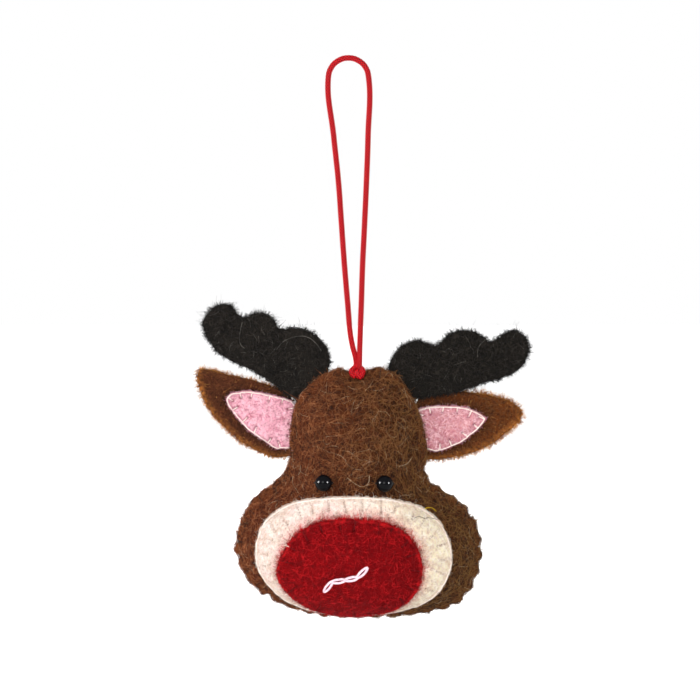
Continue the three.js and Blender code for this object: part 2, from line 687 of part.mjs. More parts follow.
// Ears and antlers start at an anchor on the seam and reach in between the felts.
function sproutOutline(spec, shares, length, height, lift, rootDepth) {
  const anchor = headRimPoint(spec.anchorAngle, 0);
  const free = shares.map(([u, v]) => [
    anchor.x + spec.side * u * length, anchor.z + lift + v * height]);
  const middle = (spec.rootFrom + spec.rootTo) / 2;
  const offTop = (degrees) => Math.abs(degrees - TOP_DEGREES);
  const lower = offTop(spec.rootFrom) > offTop(spec.rootTo) ? spec.rootFrom : spec.rootTo;
  const upper = lower === spec.rootFrom ? spec.rootTo : spec.rootFrom;
  const root = [lower, middle, upper].map((degrees) => {
    const p = headRimPoint(degrees, rootDepth);
    return [p.x, p.z];
  });
  return [...free, ...root];
}

function middleOf(points) {
  const sum = points.reduce((total, p) => total.add(p), new THREE.Vector3());
  return sum.divideScalar(points.length);
}

const earCurlAt = (spec, x) => {
  const anchor = headRimPoint(spec.anchorAngle, 0);
  return EAR_CURL_DEPTH * Math.max(0, (spec.side * (x - anchor.x)) / spec.length) ** 3;
};

const earPoint = (spec) => (x, z, distance) =>
  new THREE.Vector3(x, SEAM_PLAY + EAR_THICKNESS - earCurlAt(spec, x) - distance, z);

function earSheet(spec, rim, inner, outer) {
  const at = earPoint(spec);
  return padGeometry(
    rim, middleOf(rim), SHEET_RING_SHARES,
    (x, z, atRim) => at(x, z, outer - (atRim ? FELT_EDGE_ROUND : 0)),
    (x, z) => at(x, z, inner),
  );
}

function earRims(spec) {
  const outline = sproutOutline(spec, spec.outlineShares, spec.length, spec.height, 0, ROOT_DEPTH);
  const innerHeight = spec.height - spec.upperMargin - spec.lowerMargin;
  const top = Math.max(...spec.outlineShares.map(([, v]) => v)) * spec.height;
  const lift = top - spec.upperMargin - innerHeight / 2;
  const innerLength = spec.length - spec.tipMargin;
  const inner = sproutOutline(
    spec, spec.innerShares, innerLength, innerHeight, lift, INNER_EAR_ROOT);
  return {
    ear: closedOutline(outline, EAR_POINTS),
    inner: stitchedOutline(inner, EAR_STITCH_PITCH / 2),
  };
}

function antlerGeometry(spec) {
  const outline = closedOutline(
    sproutOutline(spec, spec.outlineShares, spec.span, spec.rise, 0, ROOT_DEPTH), ANTLER_POINTS);
  const shape = new THREE.Shape(outline.map((p) => new THREE.Vector2(p.x, p.z)));
  const geometry = new THREE.ExtrudeGeometry(shape, {
    depth: ANTLER_THICKNESS - 2 * FELT_EDGE_ROUND,
    bevelThickness: FELT_EDGE_ROUND,
    bevelSize: FELT_EDGE_ROUND,
    bevelOffset: -FELT_EDGE_ROUND,
    bevelSegments: 1,
  });
  geometry.rotateX(Math.PI / 2);
  geometry.translate(0, -SEAM_PLAY - FELT_EDGE_ROUND, 0);
  return geometry;
}

// Seam stitches wrap over both felts: each bar runs from the front over the edge to the back.
// On the front a bar stops short of the thread round the muzzle patch.
const muzzleReach = reachFrom(muzzleBox, muzzleRim);

function clearOfMuzzle(p) {
  const angle = Math.atan2(p.z - muzzleBox.z, p.x - muzzleBox.x);
  const distance = Math.hypot(p.x - muzzleBox.x, p.z - muzzleBox.z);
  return distance > muzzleReach(angle) + 3 * threadSeat;
}

function seamStitch(indices, hasBar) {
  const flat = (index, out) => beside(headOutline, index, out, headMiddle);
  const spot = (index, out, at, distance) => {
    const p = flat(index, out);
    return at(p.x, p.z, distance);
  };
  const top = feltOuter + SEAM_STITCH_LIFT;
  const bar = (i) => {
    const frontReach = clearOfMuzzle(flat(i, -SEAM_STITCH_REACH)) ? SEAM_STITCH_REACH : 0;
    return thread([
      spot(i, -frontReach, frontPoint, top),
      spot(i, threadSeat, frontPoint, top),
      spot(i, threadSeat, backPoint, top),
      spot(i, -SEAM_STITCH_REACH, backPoint, top),
    ], SPUR_SIDES);
  };
  const rail = thread(indices.map((i) => flat(i, threadSeat)), THREAD_SIDES);
  return joined([rail, ...indices.slice(1, -1).filter(hasBar).map(bar)]);
}

const rimDegrees = (p) => (THREE.MathUtils.radToDeg(Math.atan2(p.z - headCentreZ, p.x)) + 360) % 360;
const isCrown = (p) =>
  rimDegrees(p) > ANTLERS.right.rootFrom + CROWN_END_DEGREES
  && rimDegrees(p) < ANTLERS.left.rootFrom - CROWN_END_DEGREES;
const isJaw = (p) =>
  rimDegrees(p) < EARS.right.rootFrom - JAW_END_DEGREES
  || rimDegrees(p) > EARS.left.rootTo + JAW_END_DEGREES;
const everyOther = (i) => i % 2 === 0;
const clearOfKnot = (i) => Math.abs(headOutline[i].x) > KNOT_WIDTH / 2 + LAYER_GAP;

// Assembly
const head = new THREE.Group();
head.position.set(KNOT_SIDE_SHIFT, HANG_FORWARD, KNOT_BELOW_TOP - LOOP_DROP);

function piece(name, geometry, material, parent = head) {
  const mesh = new THREE.Mesh(geometry, material);
  mesh.name = name;
  parent.add(mesh);
  return mesh;
}

const eyes = { left: eyeCentre(-1), right: eyeCentre(1) };
const eyeHoles = Object.values(eyes).map((centre) => eyeThreadTube(centre, LAYER_GAP));
const facePanel = padGeometry(
  headOutline, headMiddle, PANEL_RING_SHARES,
  (x, z, atRim) => frontPoint(x, z, feltOuter - (atRim ? FELT_EDGE_ROUND : 0)),
  (x, z) => frontPoint(x, z, feltInner),
);
piece('face_panel', cutBy(facePanel, [...tailTubes(LAYER_GAP), ...eyeHoles]), FINISHES.brownFelt);

const backPanel = padGeometry(
  headOutline, headMiddle, BACK_RING_SHARES,
  (x, z, atRim) => backPoint(x, z, feltOuter - (atRim ? FELT_EDGE_ROUND : 0)),
  (x, z) => backPoint(x, z, feltInner),
);
piece('back_panel', backPanel, FINISHES.brownFelt);

const fillingRim = headOutline.map((p) => {
  const degrees = THREE.MathUtils.radToDeg(Math.atan2(p.z - headCentreZ, p.x));
  return headRimPoint(degrees, FILLING_INSET);
});
const filling = padGeometry(
  fillingRim, headMiddle, FILLING_RING_SHARES,
  (x, z) => frontPoint(x, z, -FILLING_PLAY),
  (x, z) => backPoint(x, z, -FILLING_PLAY),
);
const fillingCuts = [...tailTubes(LAYER_GAP), stopperGeometry(LAYER_GAP), ...eyeHoles];
piece('head_stuffing', cutBy(filling, fillingCuts), FINISHES.filling);

piece('muzzle_patch', patchGeometry(muzzleRim, muzzleBox, muzzleInner, muzzleOuter),
  FINISHES.creamFelt);
piece('nose_patch', patchGeometry(noseRim, noseBox, noseInner, noseOuter), FINISHES.redFelt);
piece('mouth_stitch', mouthGeometry(), FINISHES.pinkYarn);

const aboveJaw = (p) => p.z > muzzleBox.z - muzzleBox.height / 3;
piece('muzzle_thread', blanketStitch(
  muzzleRim, muzzleBox, openRun(muzzleRim, aboveJaw), feltOuter, muzzleOuter, STITCH_REACH, frontPoint,
), FINISHES.creamThread);
piece('nose_thread', blanketStitch(
  noseRim, noseBox, openRun(noseRim, aboveJaw), muzzleOuter, noseOuter, STITCH_REACH, frontPoint,
), FINISHES.redThread);

for (const [name, centre] of Object.entries(eyes)) {
  piece(`eye_bead_${name}`, beadGeometry(), FINISHES.bead).position.copy(centre);
  piece(`eye_thread_${name}`, eyeThreadTube(centre, 0), FINISHES.darkThread);
}

for (const [name, spec] of Object.entries(EARS)) {
  const rims = earRims(spec);
  const innerSeat = EAR_THICKNESS + LAYER_GAP;
  const innerTop = innerSeat + INNER_EAR_THICKNESS;
  piece(`ear_${name}`, earSheet(spec, rims.ear, 0, EAR_THICKNESS), FINISHES.brownFelt);
  piece(`inner_ear_${name}`, earSheet(spec, rims.inner, innerSeat, innerTop), FINISHES.pinkFelt);
  const clearOfHead = (p) =>
    Math.hypot(p.x, p.z - headCentreZ) > headReach(Math.atan2(p.z - headCentreZ, p.x)) + 2 * threadSeat;
  piece(`inner_ear_thread_${name}`, blanketStitch(
    rims.inner, middleOf(rims.inner), openRun(rims.inner, clearOfHead), EAR_THICKNESS, innerTop,
    EAR_STITCH_REACH, earPoint(spec),
  ), FINISHES.creamThread);
}

for (const [name, spec] of Object.entries(ANTLERS)) {
  piece(`antler_${name}`, antlerGeometry(spec), FINISHES.blackFelt);
}

piece('crown_seam_thread', seamStitch(openRun(headOutline, isCrown), clearOfKnot),
  FINISHES.brownThread);
piece('jaw_seam_thread', seamStitch(openRun(headOutline, isJaw), everyOther),
  FINISHES.brownThread);

piece('cord_tails', joined([...tailTubes(0), stopperGeometry(0)]), FINISHES.redCord);

const ornament = new THREE.Group();
ornament.add(head);
piece('cord_knot', knotGeometry(), FINISHES.redCord, ornament)
  .position.set(KNOT_SIDE_SHIFT, 0, -LOOP_DROP);
piece('hanging_loop', loopGeometry(), FINISHES.redCord, ornament);

export default ornament;
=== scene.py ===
# %% [markdown]
# # A felt reindeer head on a loop of cord
#
# This lesson dresses a hand-sewn christmas ornament: a stuffed head of brown wool felt with black
# felt antlers, a cream muzzle, a red nose and two bead eyes, hanging on red braided cord. A frame
# of plain solids says where every piece sits and how it moves. Each cell below gives one of them
# its real surface: hairy felt, sewing thread, braided cord or glass.

# %% Load the frame
import math

import bmesh
import bpy
import numpy as np
from mathutils import Matrix, Vector, noise
from mathutils.bvhtree import BVHTree
from mathutils.kdtree import KDTree


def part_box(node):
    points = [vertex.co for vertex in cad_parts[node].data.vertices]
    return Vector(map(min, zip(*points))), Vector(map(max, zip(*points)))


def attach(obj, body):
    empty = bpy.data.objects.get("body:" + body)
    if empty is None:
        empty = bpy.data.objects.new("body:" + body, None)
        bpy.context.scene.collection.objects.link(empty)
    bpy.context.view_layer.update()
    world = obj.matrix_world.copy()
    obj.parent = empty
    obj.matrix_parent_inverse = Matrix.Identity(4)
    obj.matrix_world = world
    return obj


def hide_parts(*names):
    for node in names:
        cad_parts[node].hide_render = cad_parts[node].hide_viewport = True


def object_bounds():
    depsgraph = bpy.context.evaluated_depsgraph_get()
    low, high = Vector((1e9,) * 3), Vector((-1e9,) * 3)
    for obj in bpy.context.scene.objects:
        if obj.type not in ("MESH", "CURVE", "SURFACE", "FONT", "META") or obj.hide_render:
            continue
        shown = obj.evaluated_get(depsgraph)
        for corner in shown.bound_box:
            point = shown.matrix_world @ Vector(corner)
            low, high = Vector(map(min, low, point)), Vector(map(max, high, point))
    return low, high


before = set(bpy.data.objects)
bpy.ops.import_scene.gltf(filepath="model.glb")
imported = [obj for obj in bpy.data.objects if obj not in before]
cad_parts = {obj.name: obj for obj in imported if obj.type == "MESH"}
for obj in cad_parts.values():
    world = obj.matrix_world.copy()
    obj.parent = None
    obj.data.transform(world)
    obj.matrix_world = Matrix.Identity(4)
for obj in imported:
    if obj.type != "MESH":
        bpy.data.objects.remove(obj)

MM = 0.001
cad_low, cad_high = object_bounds()


def in_mm(*values):
    return [round(float(value) / MM, 1) for value in values]


print("frame box in mm:", in_mm(*cad_low, *cad_high))

# %% [markdown]
# ## Camera
#
# The picture was taken with a long lens, a little above the middle of the ornament and straight on
# to its face. A long lens far away keeps the head from bulging towards the viewer. The camera comes
# first, because the cord is judged against what it sees.

# %% Camera
CAMERA_FOCUS = Vector((0.45, 0, -86.1)) * MM
CAMERA_DISTANCE = 600 * MM
CAMERA_ELEVATION = math.radians(5)
CAMERA_LENS = 102.857

to_camera = Vector((0, -math.cos(CAMERA_ELEVATION), math.sin(CAMERA_ELEVATION)))
camera = bpy.data.objects.new("camera", bpy.data.cameras.new("camera"))
camera.data.lens = CAMERA_LENS
camera.location = CAMERA_FOCUS + to_camera * CAMERA_DISTANCE
camera.rotation_euler = (-to_camera).to_track_quat("-Z", "Y").to_euler()
bpy.context.scene.collection.objects.link(camera)
bpy.context.scene.camera = camera
print("camera stands in mm at", in_mm(*camera.location))

# %% [markdown]
# ## Helpers for pieces
#
# Every piece is a mesh whose object stays at the origin, so that its place is in its corners. A
# mesh comes from a bmesh or from a curve. Modifiers could stay live, but here they are baked into
# the mesh as soon as they have done their work, because later cells press stitches into the
# finished surface.

# %% Helpers for pieces
MERGE_DISTANCE = 0.001 * MM


def add_object(name, data, body):
    piece = bpy.data.objects.new(name, data)
    bpy.context.scene.collection.objects.link(piece)
    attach(piece, body)
    return piece


def mesh_from(name, bm):
    mesh = bpy.data.meshes.new(name)
    bm.to_mesh(mesh)
    bm.free()
    return mesh


def add_mesh(name, bm, body):
    return add_object(name, mesh_from(name, bm), body)


def bake_modifiers(piece):
    graph = bpy.context.evaluated_depsgraph_get()
    mesh = bpy.data.meshes.new_from_object(piece.evaluated_get(graph))
    piece.modifiers.clear()
    piece.data = mesh
    piece.data.shade_smooth()


def dress(piece, material, slot):
    piece.data.materials.clear()
    piece.data.materials.append(material)
    return piece


def merged_node(node):
    """A copy of one of the frame's solids, with its loose triangles joined."""
    bm = bmesh.new()
    bm.from_mesh(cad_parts[node].data)
    bmesh.ops.remove_doubles(bm, verts=bm.verts, dist=MERGE_DISTANCE)
    return bm


print("solids to dress:", len(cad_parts))

# %% [markdown]
# ## Corners, attributes and search trees
#
# Felt is shaped corner by corner: one near a stitch sinks, and one near the edge moves out. Python
# loops over vertices are slow, so the corners are read into one numpy array, moved together and
# written back. Search trees find the nearest point of a seam, or of another felt, in no time. What a
# shader has to know about a place, such as how near the edge is, is painted on it as an attribute.

# %% Corners, attributes and search trees
def corners_of(mesh):
    places = np.empty(3 * len(mesh.vertices))
    mesh.vertices.foreach_get("co", places)
    return places.reshape(-1, 3)


def normals_of(mesh):
    normals = np.empty(3 * len(mesh.vertices))
    mesh.vertices.foreach_get("normal", normals)
    return normals.reshape(-1, 3)


def move_corners(mesh, places):
    mesh.vertices.foreach_set("co", places.ravel())
    mesh.update()


def paint(piece, name, values):
    """Keeps one number for each corner, which a shader can read by its name."""
    attribute = piece.data.attributes.new(name, "FLOAT", "POINT")
    attribute.data.foreach_set("value", np.asarray(values, dtype=np.float32))


def search_tree(points):
    tree = KDTree(len(points))
    for i, point in enumerate(points):
        tree.insert(point, i)
    tree.balance()
    return tree


def surface_of(piece):
    bm = bmesh.new()
    bm.from_mesh(piece.data)
    surface = BVHTree.FromBMesh(bm)
    bm.free()
    return surface


print("the face panel has", len(corners_of(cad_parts["face_panel"].data)), "corners")

# %% [markdown]
# ## Shader maths in Python
#
# A shader graph could be drawn in the node editor, but in a script it is long to write and hard to
# read. It reads like a sum once its sockets can be added and multiplied. `Socket` wraps one output,
# and each operator on it adds a Math node. `Shader.node` makes every other node: it sets the node's
# own settings first, and then its sockets, from numbers or from other sockets.

# %% Shader maths in Python
class Socket:
    def __init__(self, shader, link):
        self.shader = shader
        self.link = link

    def maths(self, operation, *values):
        return self.shader.node("ShaderNodeMath", {"operation": operation}, dict(enumerate(values)))

    def __add__(self, other):
        return self.maths("ADD", self, other)

    def __radd__(self, other):
        return self.maths("ADD", other, self)

    def __sub__(self, other):
        return self.maths("SUBTRACT", self, other)

    def __rsub__(self, other):
        return self.maths("SUBTRACT", other, self)

    def __mul__(self, other):
        return self.maths("MULTIPLY", self, other)

    def __rmul__(self, other):
        return self.maths("MULTIPLY", other, self)

    def __abs__(self):
        return self.maths("ABSOLUTE", self)

    def largest(self, other):
        return self.maths("MAXIMUM", self, other)

    def smooth(self, low, high):
        inputs = {0: self, 1: low, 2: high, 3: 0.0, 4: 1.0}
        return self.shader.node("ShaderNodeMapRange", {"interpolation_type": "SMOOTHSTEP"}, inputs)


class Shader:
    """The nodes of a material or of the world. Its surface is the node that ends the graph."""

    def __init__(self, owner, surface="Principled BSDF"):
        self.owner = owner
        self.owner.use_nodes = True
        self.tree = owner.node_tree
        self.surface = self.tree.nodes[surface]

    def node(self, kind, settings, inputs, output=0):
        made = self.tree.nodes.new(kind)
        for name, value in settings.items():
            setattr(made, name, value)
        self.connect(made, inputs)
        return Socket(self, made.outputs[output])

    def connect(self, made, inputs):
        for key, value in inputs.items():
            if isinstance(value, Socket):
                self.tree.links.new(value.link, made.inputs[key])
            else:
                made.inputs[key].default_value = value

    def place(self):
        return self.node("ShaderNodeTexCoord", {}, {}, output="Object")

    def axis(self, place, name):
        return self.node("ShaderNodeSeparateXYZ", {}, {0: place}, output=name)

    def noise(self, place, size, detail=2.0, twist=0.0, seed=0.0):
        inputs = {
            "Vector": place, "W": seed, "Scale": 1 / size, "Detail": detail, "Distortion": twist,
        }
        return self.node("ShaderNodeTexNoise", {"noise_dimensions": "4D"}, inputs)

    def strands(self, place, size, width, seed):
        """Thin curved lines, where a smooth noise passes through its middle value."""
        wave = self.noise(place, size, detail=1.0, twist=0.8, seed=seed)
        return 1 - abs(wave - 0.5).smooth(0.0, width)

    def painted(self, name):
        return self.node("ShaderNodeAttribute", {"attribute_name": name}, {}, output="Fac")

    def mix(self, share, first, second):
        inputs = {0: share, 6: first, 7: second}
        return self.node("ShaderNodeMix", {"data_type": "RGBA"}, inputs, output=2)

    def bump(self, height, depth, strength=1.0):
        inputs = {"Height": height, "Distance": depth, "Strength": strength}
        return self.node("ShaderNodeBump", {}, inputs)

    def background_rays(self):
        """1 where the camera, gloss or glass looks at a background, and 0 where it gives light."""
        camera_ray, glossy_ray, glass_ray = (
            self.node("ShaderNodeLightPath", {}, {}, output=f"Is {kind} Ray")
            for kind in ("Camera", "Glossy", "Transmission"))
        return camera_ray.largest(glossy_ray).largest(glass_ray)

    def finish(self, **inputs):
        self.connect(self.surface, {name.replace("_", " "): value for name, value in inputs.items()})
        return self.owner


def new_shader(name):
    return Shader(bpy.data.materials.new(name))


def srgb(red, green, blue):
    """A colour as a screen shows it, from 0 to 255, as the linear colour that a shader needs."""
    shares = [value / 255 for value in (red, green, blue)]
    linear = [s / 12.92 if s <= 0.04045 else ((s + 0.055) / 1.055) ** 2.4 for s in shares]
    return (*linear, 1.0)


print("a middle grey is", [round(v, 3) for v in srgb(128, 128, 128)])

# %% [markdown]
# ## The hanging cord
#
# The cord is about 1.5 mm thick, braided from silky yarn. It leaves the knot, runs up, turns over in
# a round arch and comes down to the knot again. A hanging cord could be left to a simulation, but
# the picture shows its curve, so its route is a short list of points: the frame's own route, each
# point as how far it lies to the side of the loop's middle and below the arch, in millimetres. The
# two strands cross the middle plane where they meet at the knot.

# %% The cord's route
CORD_DIAMETER = 1.5 * MM
ARCH_RADIUS = 6 * MM
ARCH_END = CORD_DIAMETER / 2 - ARCH_RADIUS
ARCH_POINTS = 7
STRAND_ENDS = [(2.35, 85.8), (3.25, 85.8)]
END_CROSSING = 1.2 * MM
CROSSING_SHARES = {0: 0.5, 1: 0.4, -1: -0.5, -2: -0.4}
LEFT_STRAND = [
    (2.2, 83.6), (1.2, 79.6), (0.55, 76), (-0.15, 68), (-1.2, 55.5), (-2.1, 43), (-3, 30.5),
    (-4.35, 17.5),
]
RIGHT_STRAND = [
    (3.3, 83.6), (3.4, 79.6), (3.5, 76), (3.8, 68), (4.2, 55.5), (4.8, 43), (5.35, 30.5),
    (5.8, 17.5),
]


def hung(point):
    return Vector((point[0] * MM, 0, ARCH_END - point[1] * MM))


def arch_point(i):
    turn = math.pi * (1 - i / (ARCH_POINTS - 1))
    return Vector((math.cos(turn), 0, math.sin(turn))) * ARCH_RADIUS + Vector((0, 0, ARCH_END))


loop_route = [hung(p) for p in [STRAND_ENDS[0], *LEFT_STRAND]]
loop_route += [arch_point(i) for i in range(ARCH_POINTS)]
loop_route += [hung(p) for p in [STRAND_ENDS[1], *RIGHT_STRAND]][::-1]
for i, share in CROSSING_SHARES.items():
    loop_route[i].y = share * END_CROSSING
print("the route has", len(loop_route), "points")

# %% [markdown]
# ## Smooth lines and tubes
#
# Cord, thread, yarn and single fibres are all round, so one way makes them all. A Bezier curve with
# automatic handles runs smoothly through a few points and is cut into even steps. A second curve
# with a bevel makes the tube. Its caps are filled, so that every tube is a closed body. Many tubes
# share one mesh, because an object for each fibre would be slow.

# %% Smooth lines and tubes
CURVE_STEPS = 24
FEWEST_POINTS = 4


def smooth_line(points, step):
    """A smooth curve through the points, as points a step apart, and its length."""
    data = bpy.data.curves.new("line", "CURVE")
    data.dimensions = "3D"
    spline = data.splines.new("BEZIER")
    spline.bezier_points.add(len(points) - 1)
    for point, place in zip(spline.bezier_points, points):
        point.co = place
        point.handle_left_type = point.handle_right_type = "AUTO"
    spline.resolution_u = CURVE_STEPS
    places = corners_of(mesh_of_curve(data))
    run = np.concatenate([[0], np.cumsum(np.linalg.norm(np.diff(places, axis=0), axis=1))])
    marks = np.linspace(0, run[-1], max(FEWEST_POINTS, round(run[-1] / step)))
    return np.stack([np.interp(marks, run, places[:, i]) for i in range(3)], axis=1), run[-1]


def mesh_of_curve(data):
    helper = bpy.data.objects.new("helper", data)
    bpy.context.scene.collection.objects.link(helper)
    graph = bpy.context.evaluated_depsgraph_get()
    mesh = bpy.data.meshes.new_from_object(helper.evaluated_get(graph))
    bpy.data.objects.remove(helper)
    return mesh


def tubes(name, lines, radii, body, roundness=0):
    """One mesh with a closed tube along each line; a radius is a number or one for each point."""
    data = bpy.data.curves.new(name, "CURVE")
    data.dimensions = "3D"
    data.bevel_depth = 1.0
    data.bevel_resolution = roundness
    data.use_fill_caps = True
    for line, radius in zip(lines, radii):
        spline = data.splines.new("POLY")
        spline.points.add(len(line) - 1)
        spline.points.foreach_set("co", np.c_[line, np.ones(len(line))].ravel())
        spline.points.foreach_set("radius", np.broadcast_to(radius, len(line)).astype(float))
    mesh = mesh_of_curve(data)
    mesh.shade_smooth()
    return add_object(name, mesh, body)


left_line, left_length = smooth_line([hung(point) for point in LEFT_STRAND], CORD_DIAMETER)
print("the left strand is", *in_mm(left_length), "mm long, in", len(left_line), "points")

# %% [markdown]
# ## Braided cord
#
# A braid is two sets of strands that wind round the cord in opposite directions. Modelling every
# strand would cost a hundred times more faces than the eye can use. So the corners of a plain tube
# move out in a lattice of small pillows, which is what crossing strands look like. The same lattice
# is kept as an attribute, so that the finish can darken the grooves between them.

# %% Braided cord
CORD_ROUNDNESS = 14
CORD_STEP = 0.12 * MM
BRAID_STRANDS = 6
BRAID_PITCH = 5.4 * MM
BRAID_DEPTH = 0.24 * MM
BRAID_LEVEL = 0.35


def braid(piece, line, length):
    """Pushes the tube's corners out into the pillows of a braid, and keeps the pattern."""
    mesh = piece.data
    tree = search_tree(line)
    tangents = np.gradient(line, axis=0)
    tangents /= np.linalg.norm(tangents, axis=1)[:, None]
    places = corners_of(mesh)
    pillows = np.empty(len(places))
    for i, place in enumerate(places):
        nearest = tree.find(place)[1]
        out = place - line[nearest]
        turn = math.atan2(out[1], out @ np.cross(tangents[nearest], (0, 1, 0)))
        along = 2 * math.pi * nearest * length / len(line) / BRAID_PITCH
        first = abs(math.sin(BRAID_STRANDS * (turn + along) / 2))
        pillows[i] = math.sqrt(first * abs(math.sin(BRAID_STRANDS * (turn - along) / 2)))
    lift = (pillows - BRAID_LEVEL) * BRAID_DEPTH
    move_corners(mesh, places + normals_of(mesh) * lift[:, None])
    paint(piece, "braid", pillows)


def braided_cord(name, points, radius, body):
    line, length = smooth_line(points, CORD_STEP)
    piece = tubes(name, [line], [radius], body, CORD_ROUNDNESS)
    braid(piece, line, length)
    print(name, "is", round(length / MM, 1), "mm long and has", len(piece.data.polygons), "faces")
    return piece, line, length


hanging_cord, loop_line, loop_length = braided_cord(
    "hanging_cord", loop_route, CORD_DIAMETER / 2, "loop")
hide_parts("hanging_loop")

# %% [markdown]
# ## The knot and the cord's ends
#
# In front of the top seam the two strands are knotted. The knot shows as a small heart: two chubby
# lobes side by side that dive into the felt between them. A knot could be traced strand by strand,
# but only its front shows, so each lobe is a short curl of the same cord, with points that were
# chosen against the picture. Behind the felt the two ends run down to a stopper knot, a tight coil
# that nobody sees. Points are millimetres from the knot's centre.

# %% The knot and the cord's ends
KNOT_CENTRE = Vector((2.65, 0, -93)) * MM
LEFT_CURL = [
    (-0.3, 0.55, 2.3), (-0.8, 0.35, 1.6), (-1.55, 0.05, 1), (-1.75, -0.05, 0.4), (-1.45, -0.1, -0.35),
    (-1, -0.1, -0.85), (-0.5, -0.1, -0.35), (-0.42, 0.1, 0.5), (-0.7, 1.3, 0.3), (-1, 3.2, -1.6),
]
RIGHT_CURL = [
    (0.55, -0.35, 2.3), (0.8, -0.3, 1.6), (1.45, -0.4, 1.15), (1.65, -0.5, 0.5), (1.35, -0.6, -0.35),
    (0.85, -0.6, -1.05), (0.3, -0.6, -0.5), (0.3, -0.4, 0.55), (0.7, 1.2, 0.4), (1, 3.2, -1.7),
]
LEFT_CURL_RADIUS = 0.68 * MM
RIGHT_CURL_RADIUS = 0.72 * MM
TAIL = [(1.1, 3.3, -2), (0.75, 4.4, -3), (0.75, 4.4, -4.5), (1, 3.2, -7)]
STOPPER_CENTRE = KNOT_CENTRE + Vector((0, 3.2, -7)) * MM
STOPPER_TURNS = 3
STOPPER_POINTS = 24
STOPPER_RADIUS = 0.85 * MM
STOPPER_HALF = 1.9 * MM


def near_knot(points, side=1):
    return [KNOT_CENTRE + Vector((side * x, y, z)) * MM for x, y, z in points]


def stopper_point(i):
    share = i / (STOPPER_POINTS - 1)
    turn = 2 * math.pi * STOPPER_TURNS * share
    side = STOPPER_HALF * (2 * share - 1)
    return STOPPER_CENTRE + Vector(
        (side, math.cos(turn) * STOPPER_RADIUS, math.sin(turn) * STOPPER_RADIUS))


LOBES = {
    "knot_left_lobe": (LEFT_CURL, LEFT_CURL_RADIUS),
    "knot_right_lobe": (RIGHT_CURL, RIGHT_CURL_RADIUS),
}
ENDS = {
    "cord_end_left": near_knot(TAIL, -1),
    "cord_end_right": near_knot(TAIL),
    "stopper_knot": [stopper_point(i) for i in range(STOPPER_POINTS)],
}
cords = {"hanging_cord": hanging_cord}
for name, (curl, radius) in LOBES.items():
    cords[name] = braided_cord(name, near_knot(curl), radius, "knot")[0]
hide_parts("cord_knot")
for name, points in ENDS.items():
    cords[name] = braided_cord(name, points, CORD_DIAMETER / 2, "head")[0]
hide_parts("cord_tails")

# %% [markdown]
# ## Cord finish
#
# The yarn is bright red with a silky gloss. A picture of a braid could be wrapped round the cord,
# but the lattice that was painted on its corners already says where the grooves are. They turn a
# deep red as painted shade, and a fine noise stands for the yarn's filaments.

# %% Cord finish
def cord_material():
    shader = new_shader("red_cord")
    yarn = shader.noise(shader.place(), 0.22 * MM, detail=2.0)
    pillow = shader.painted("braid").smooth(0.5, 0.95)
    # The grooves between the strands get painted shade.
    colour = shader.mix(pillow * 0.9 + yarn * 0.1, srgb(60, 0, 8), srgb(255, 20, 30))
    return shader.finish(
        Base_Color=colour, Normal=shader.bump(yarn, 0.04 * MM), Roughness=0.45,
        Specular_IOR_Level=0.12)


red_cord = cord_material()
for piece in cords.values():
    dress(piece, red_cord, "red_cord")
print("pieces of cord:", ", ".join(cords))

# %% [markdown]
# ## Felt from the frame's solids
#
# Felt is cut from a thick, soft sheet, so its edges are round and its faces are never quite even.
# It could be sculpted by hand, but each felt already has its form in the frame, so it starts as a
# copy of its solid. A voxel remesh gives it small even faces, smoothing rounds its edges, and a soft
# noise then lifts and lowers them. After that the surface can be pressed in wherever a thread pulls
# on it.

# %% Felt from the frame's solids
LUMP_SIZE = 3.2 * MM
LUMP_DEPTH = 0.2 * MM
GRAIN_SIZE = 0.9 * MM
GRAIN_DEPTH = 0.08 * MM
NOISE_SHIFTS = (7.3, 3.1, 1.7)


def lumpy(mesh, seed):
    """Lifts and lowers a surface by a wide noise and by a fine one."""
    places = corners_of(mesh)
    shift = Vector([seed * shift for shift in NOISE_SHIFTS])
    lumps = [noise.noise(Vector(p) / LUMP_SIZE + shift) for p in places]
    grain = [noise.noise(Vector(p) / GRAIN_SIZE + shift) for p in places]
    lift = np.array(lumps) * LUMP_DEPTH + np.array(grain) * GRAIN_DEPTH
    move_corners(mesh, places + normals_of(mesh) * lift[:, None])


def remeshed_copy(name, node, voxel, smoothing=0):
    """One of the frame's solids in small even faces, as the piece that stands for it."""
    piece = add_mesh(name, merged_node(node), "head")
    remesh = piece.modifiers.new("even faces", "REMESH")
    remesh.mode = "VOXEL"
    remesh.voxel_size = voxel
    if smoothing:
        piece.modifiers.new("soft edges", "SMOOTH").iterations = smoothing
    bake_modifiers(piece)
    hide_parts(node)
    return piece


# Each felt has its solid, the size of a voxel in millimetres and how often it is smoothed.
FELTS = {
    "face_felt": ("face_panel", 0.55, 6),
    "back_felt": ("back_panel", 0.8, 4),
    "muzzle_felt": ("muzzle_patch", 0.4, 5),
    "nose_felt": ("nose_patch", 0.4, 5),
    "ear_felt_left": ("ear_left", 0.4, 6),
    "ear_felt_right": ("ear_right", 0.4, 6),
    "inner_ear_felt_left": ("inner_ear_left", 0.3, 5),
    "inner_ear_felt_right": ("inner_ear_right", 0.3, 5),
    "antler_felt_left": ("antler_left", 0.5, 7),
    "antler_felt_right": ("antler_right", 0.5, 7),
}
felts = {}
for seed, (name, (node, voxel, smoothing)) in enumerate(FELTS.items()):
    felts[name] = remeshed_copy(name, node, voxel * MM, smoothing)
    lumpy(felts[name].data, seed)
    print(name, "has", len(felts[name].data.polygons), "faces")

# %% [markdown]
# ## The filling
#
# Loose fibre fills the head. Nobody sees it, but it is what gives the felt its crown, so it gets a
# form of its own inside the two brown felts. Wide voxels are enough for it.

# %% The filling
FILLING_VOXEL = 2.5 * MM

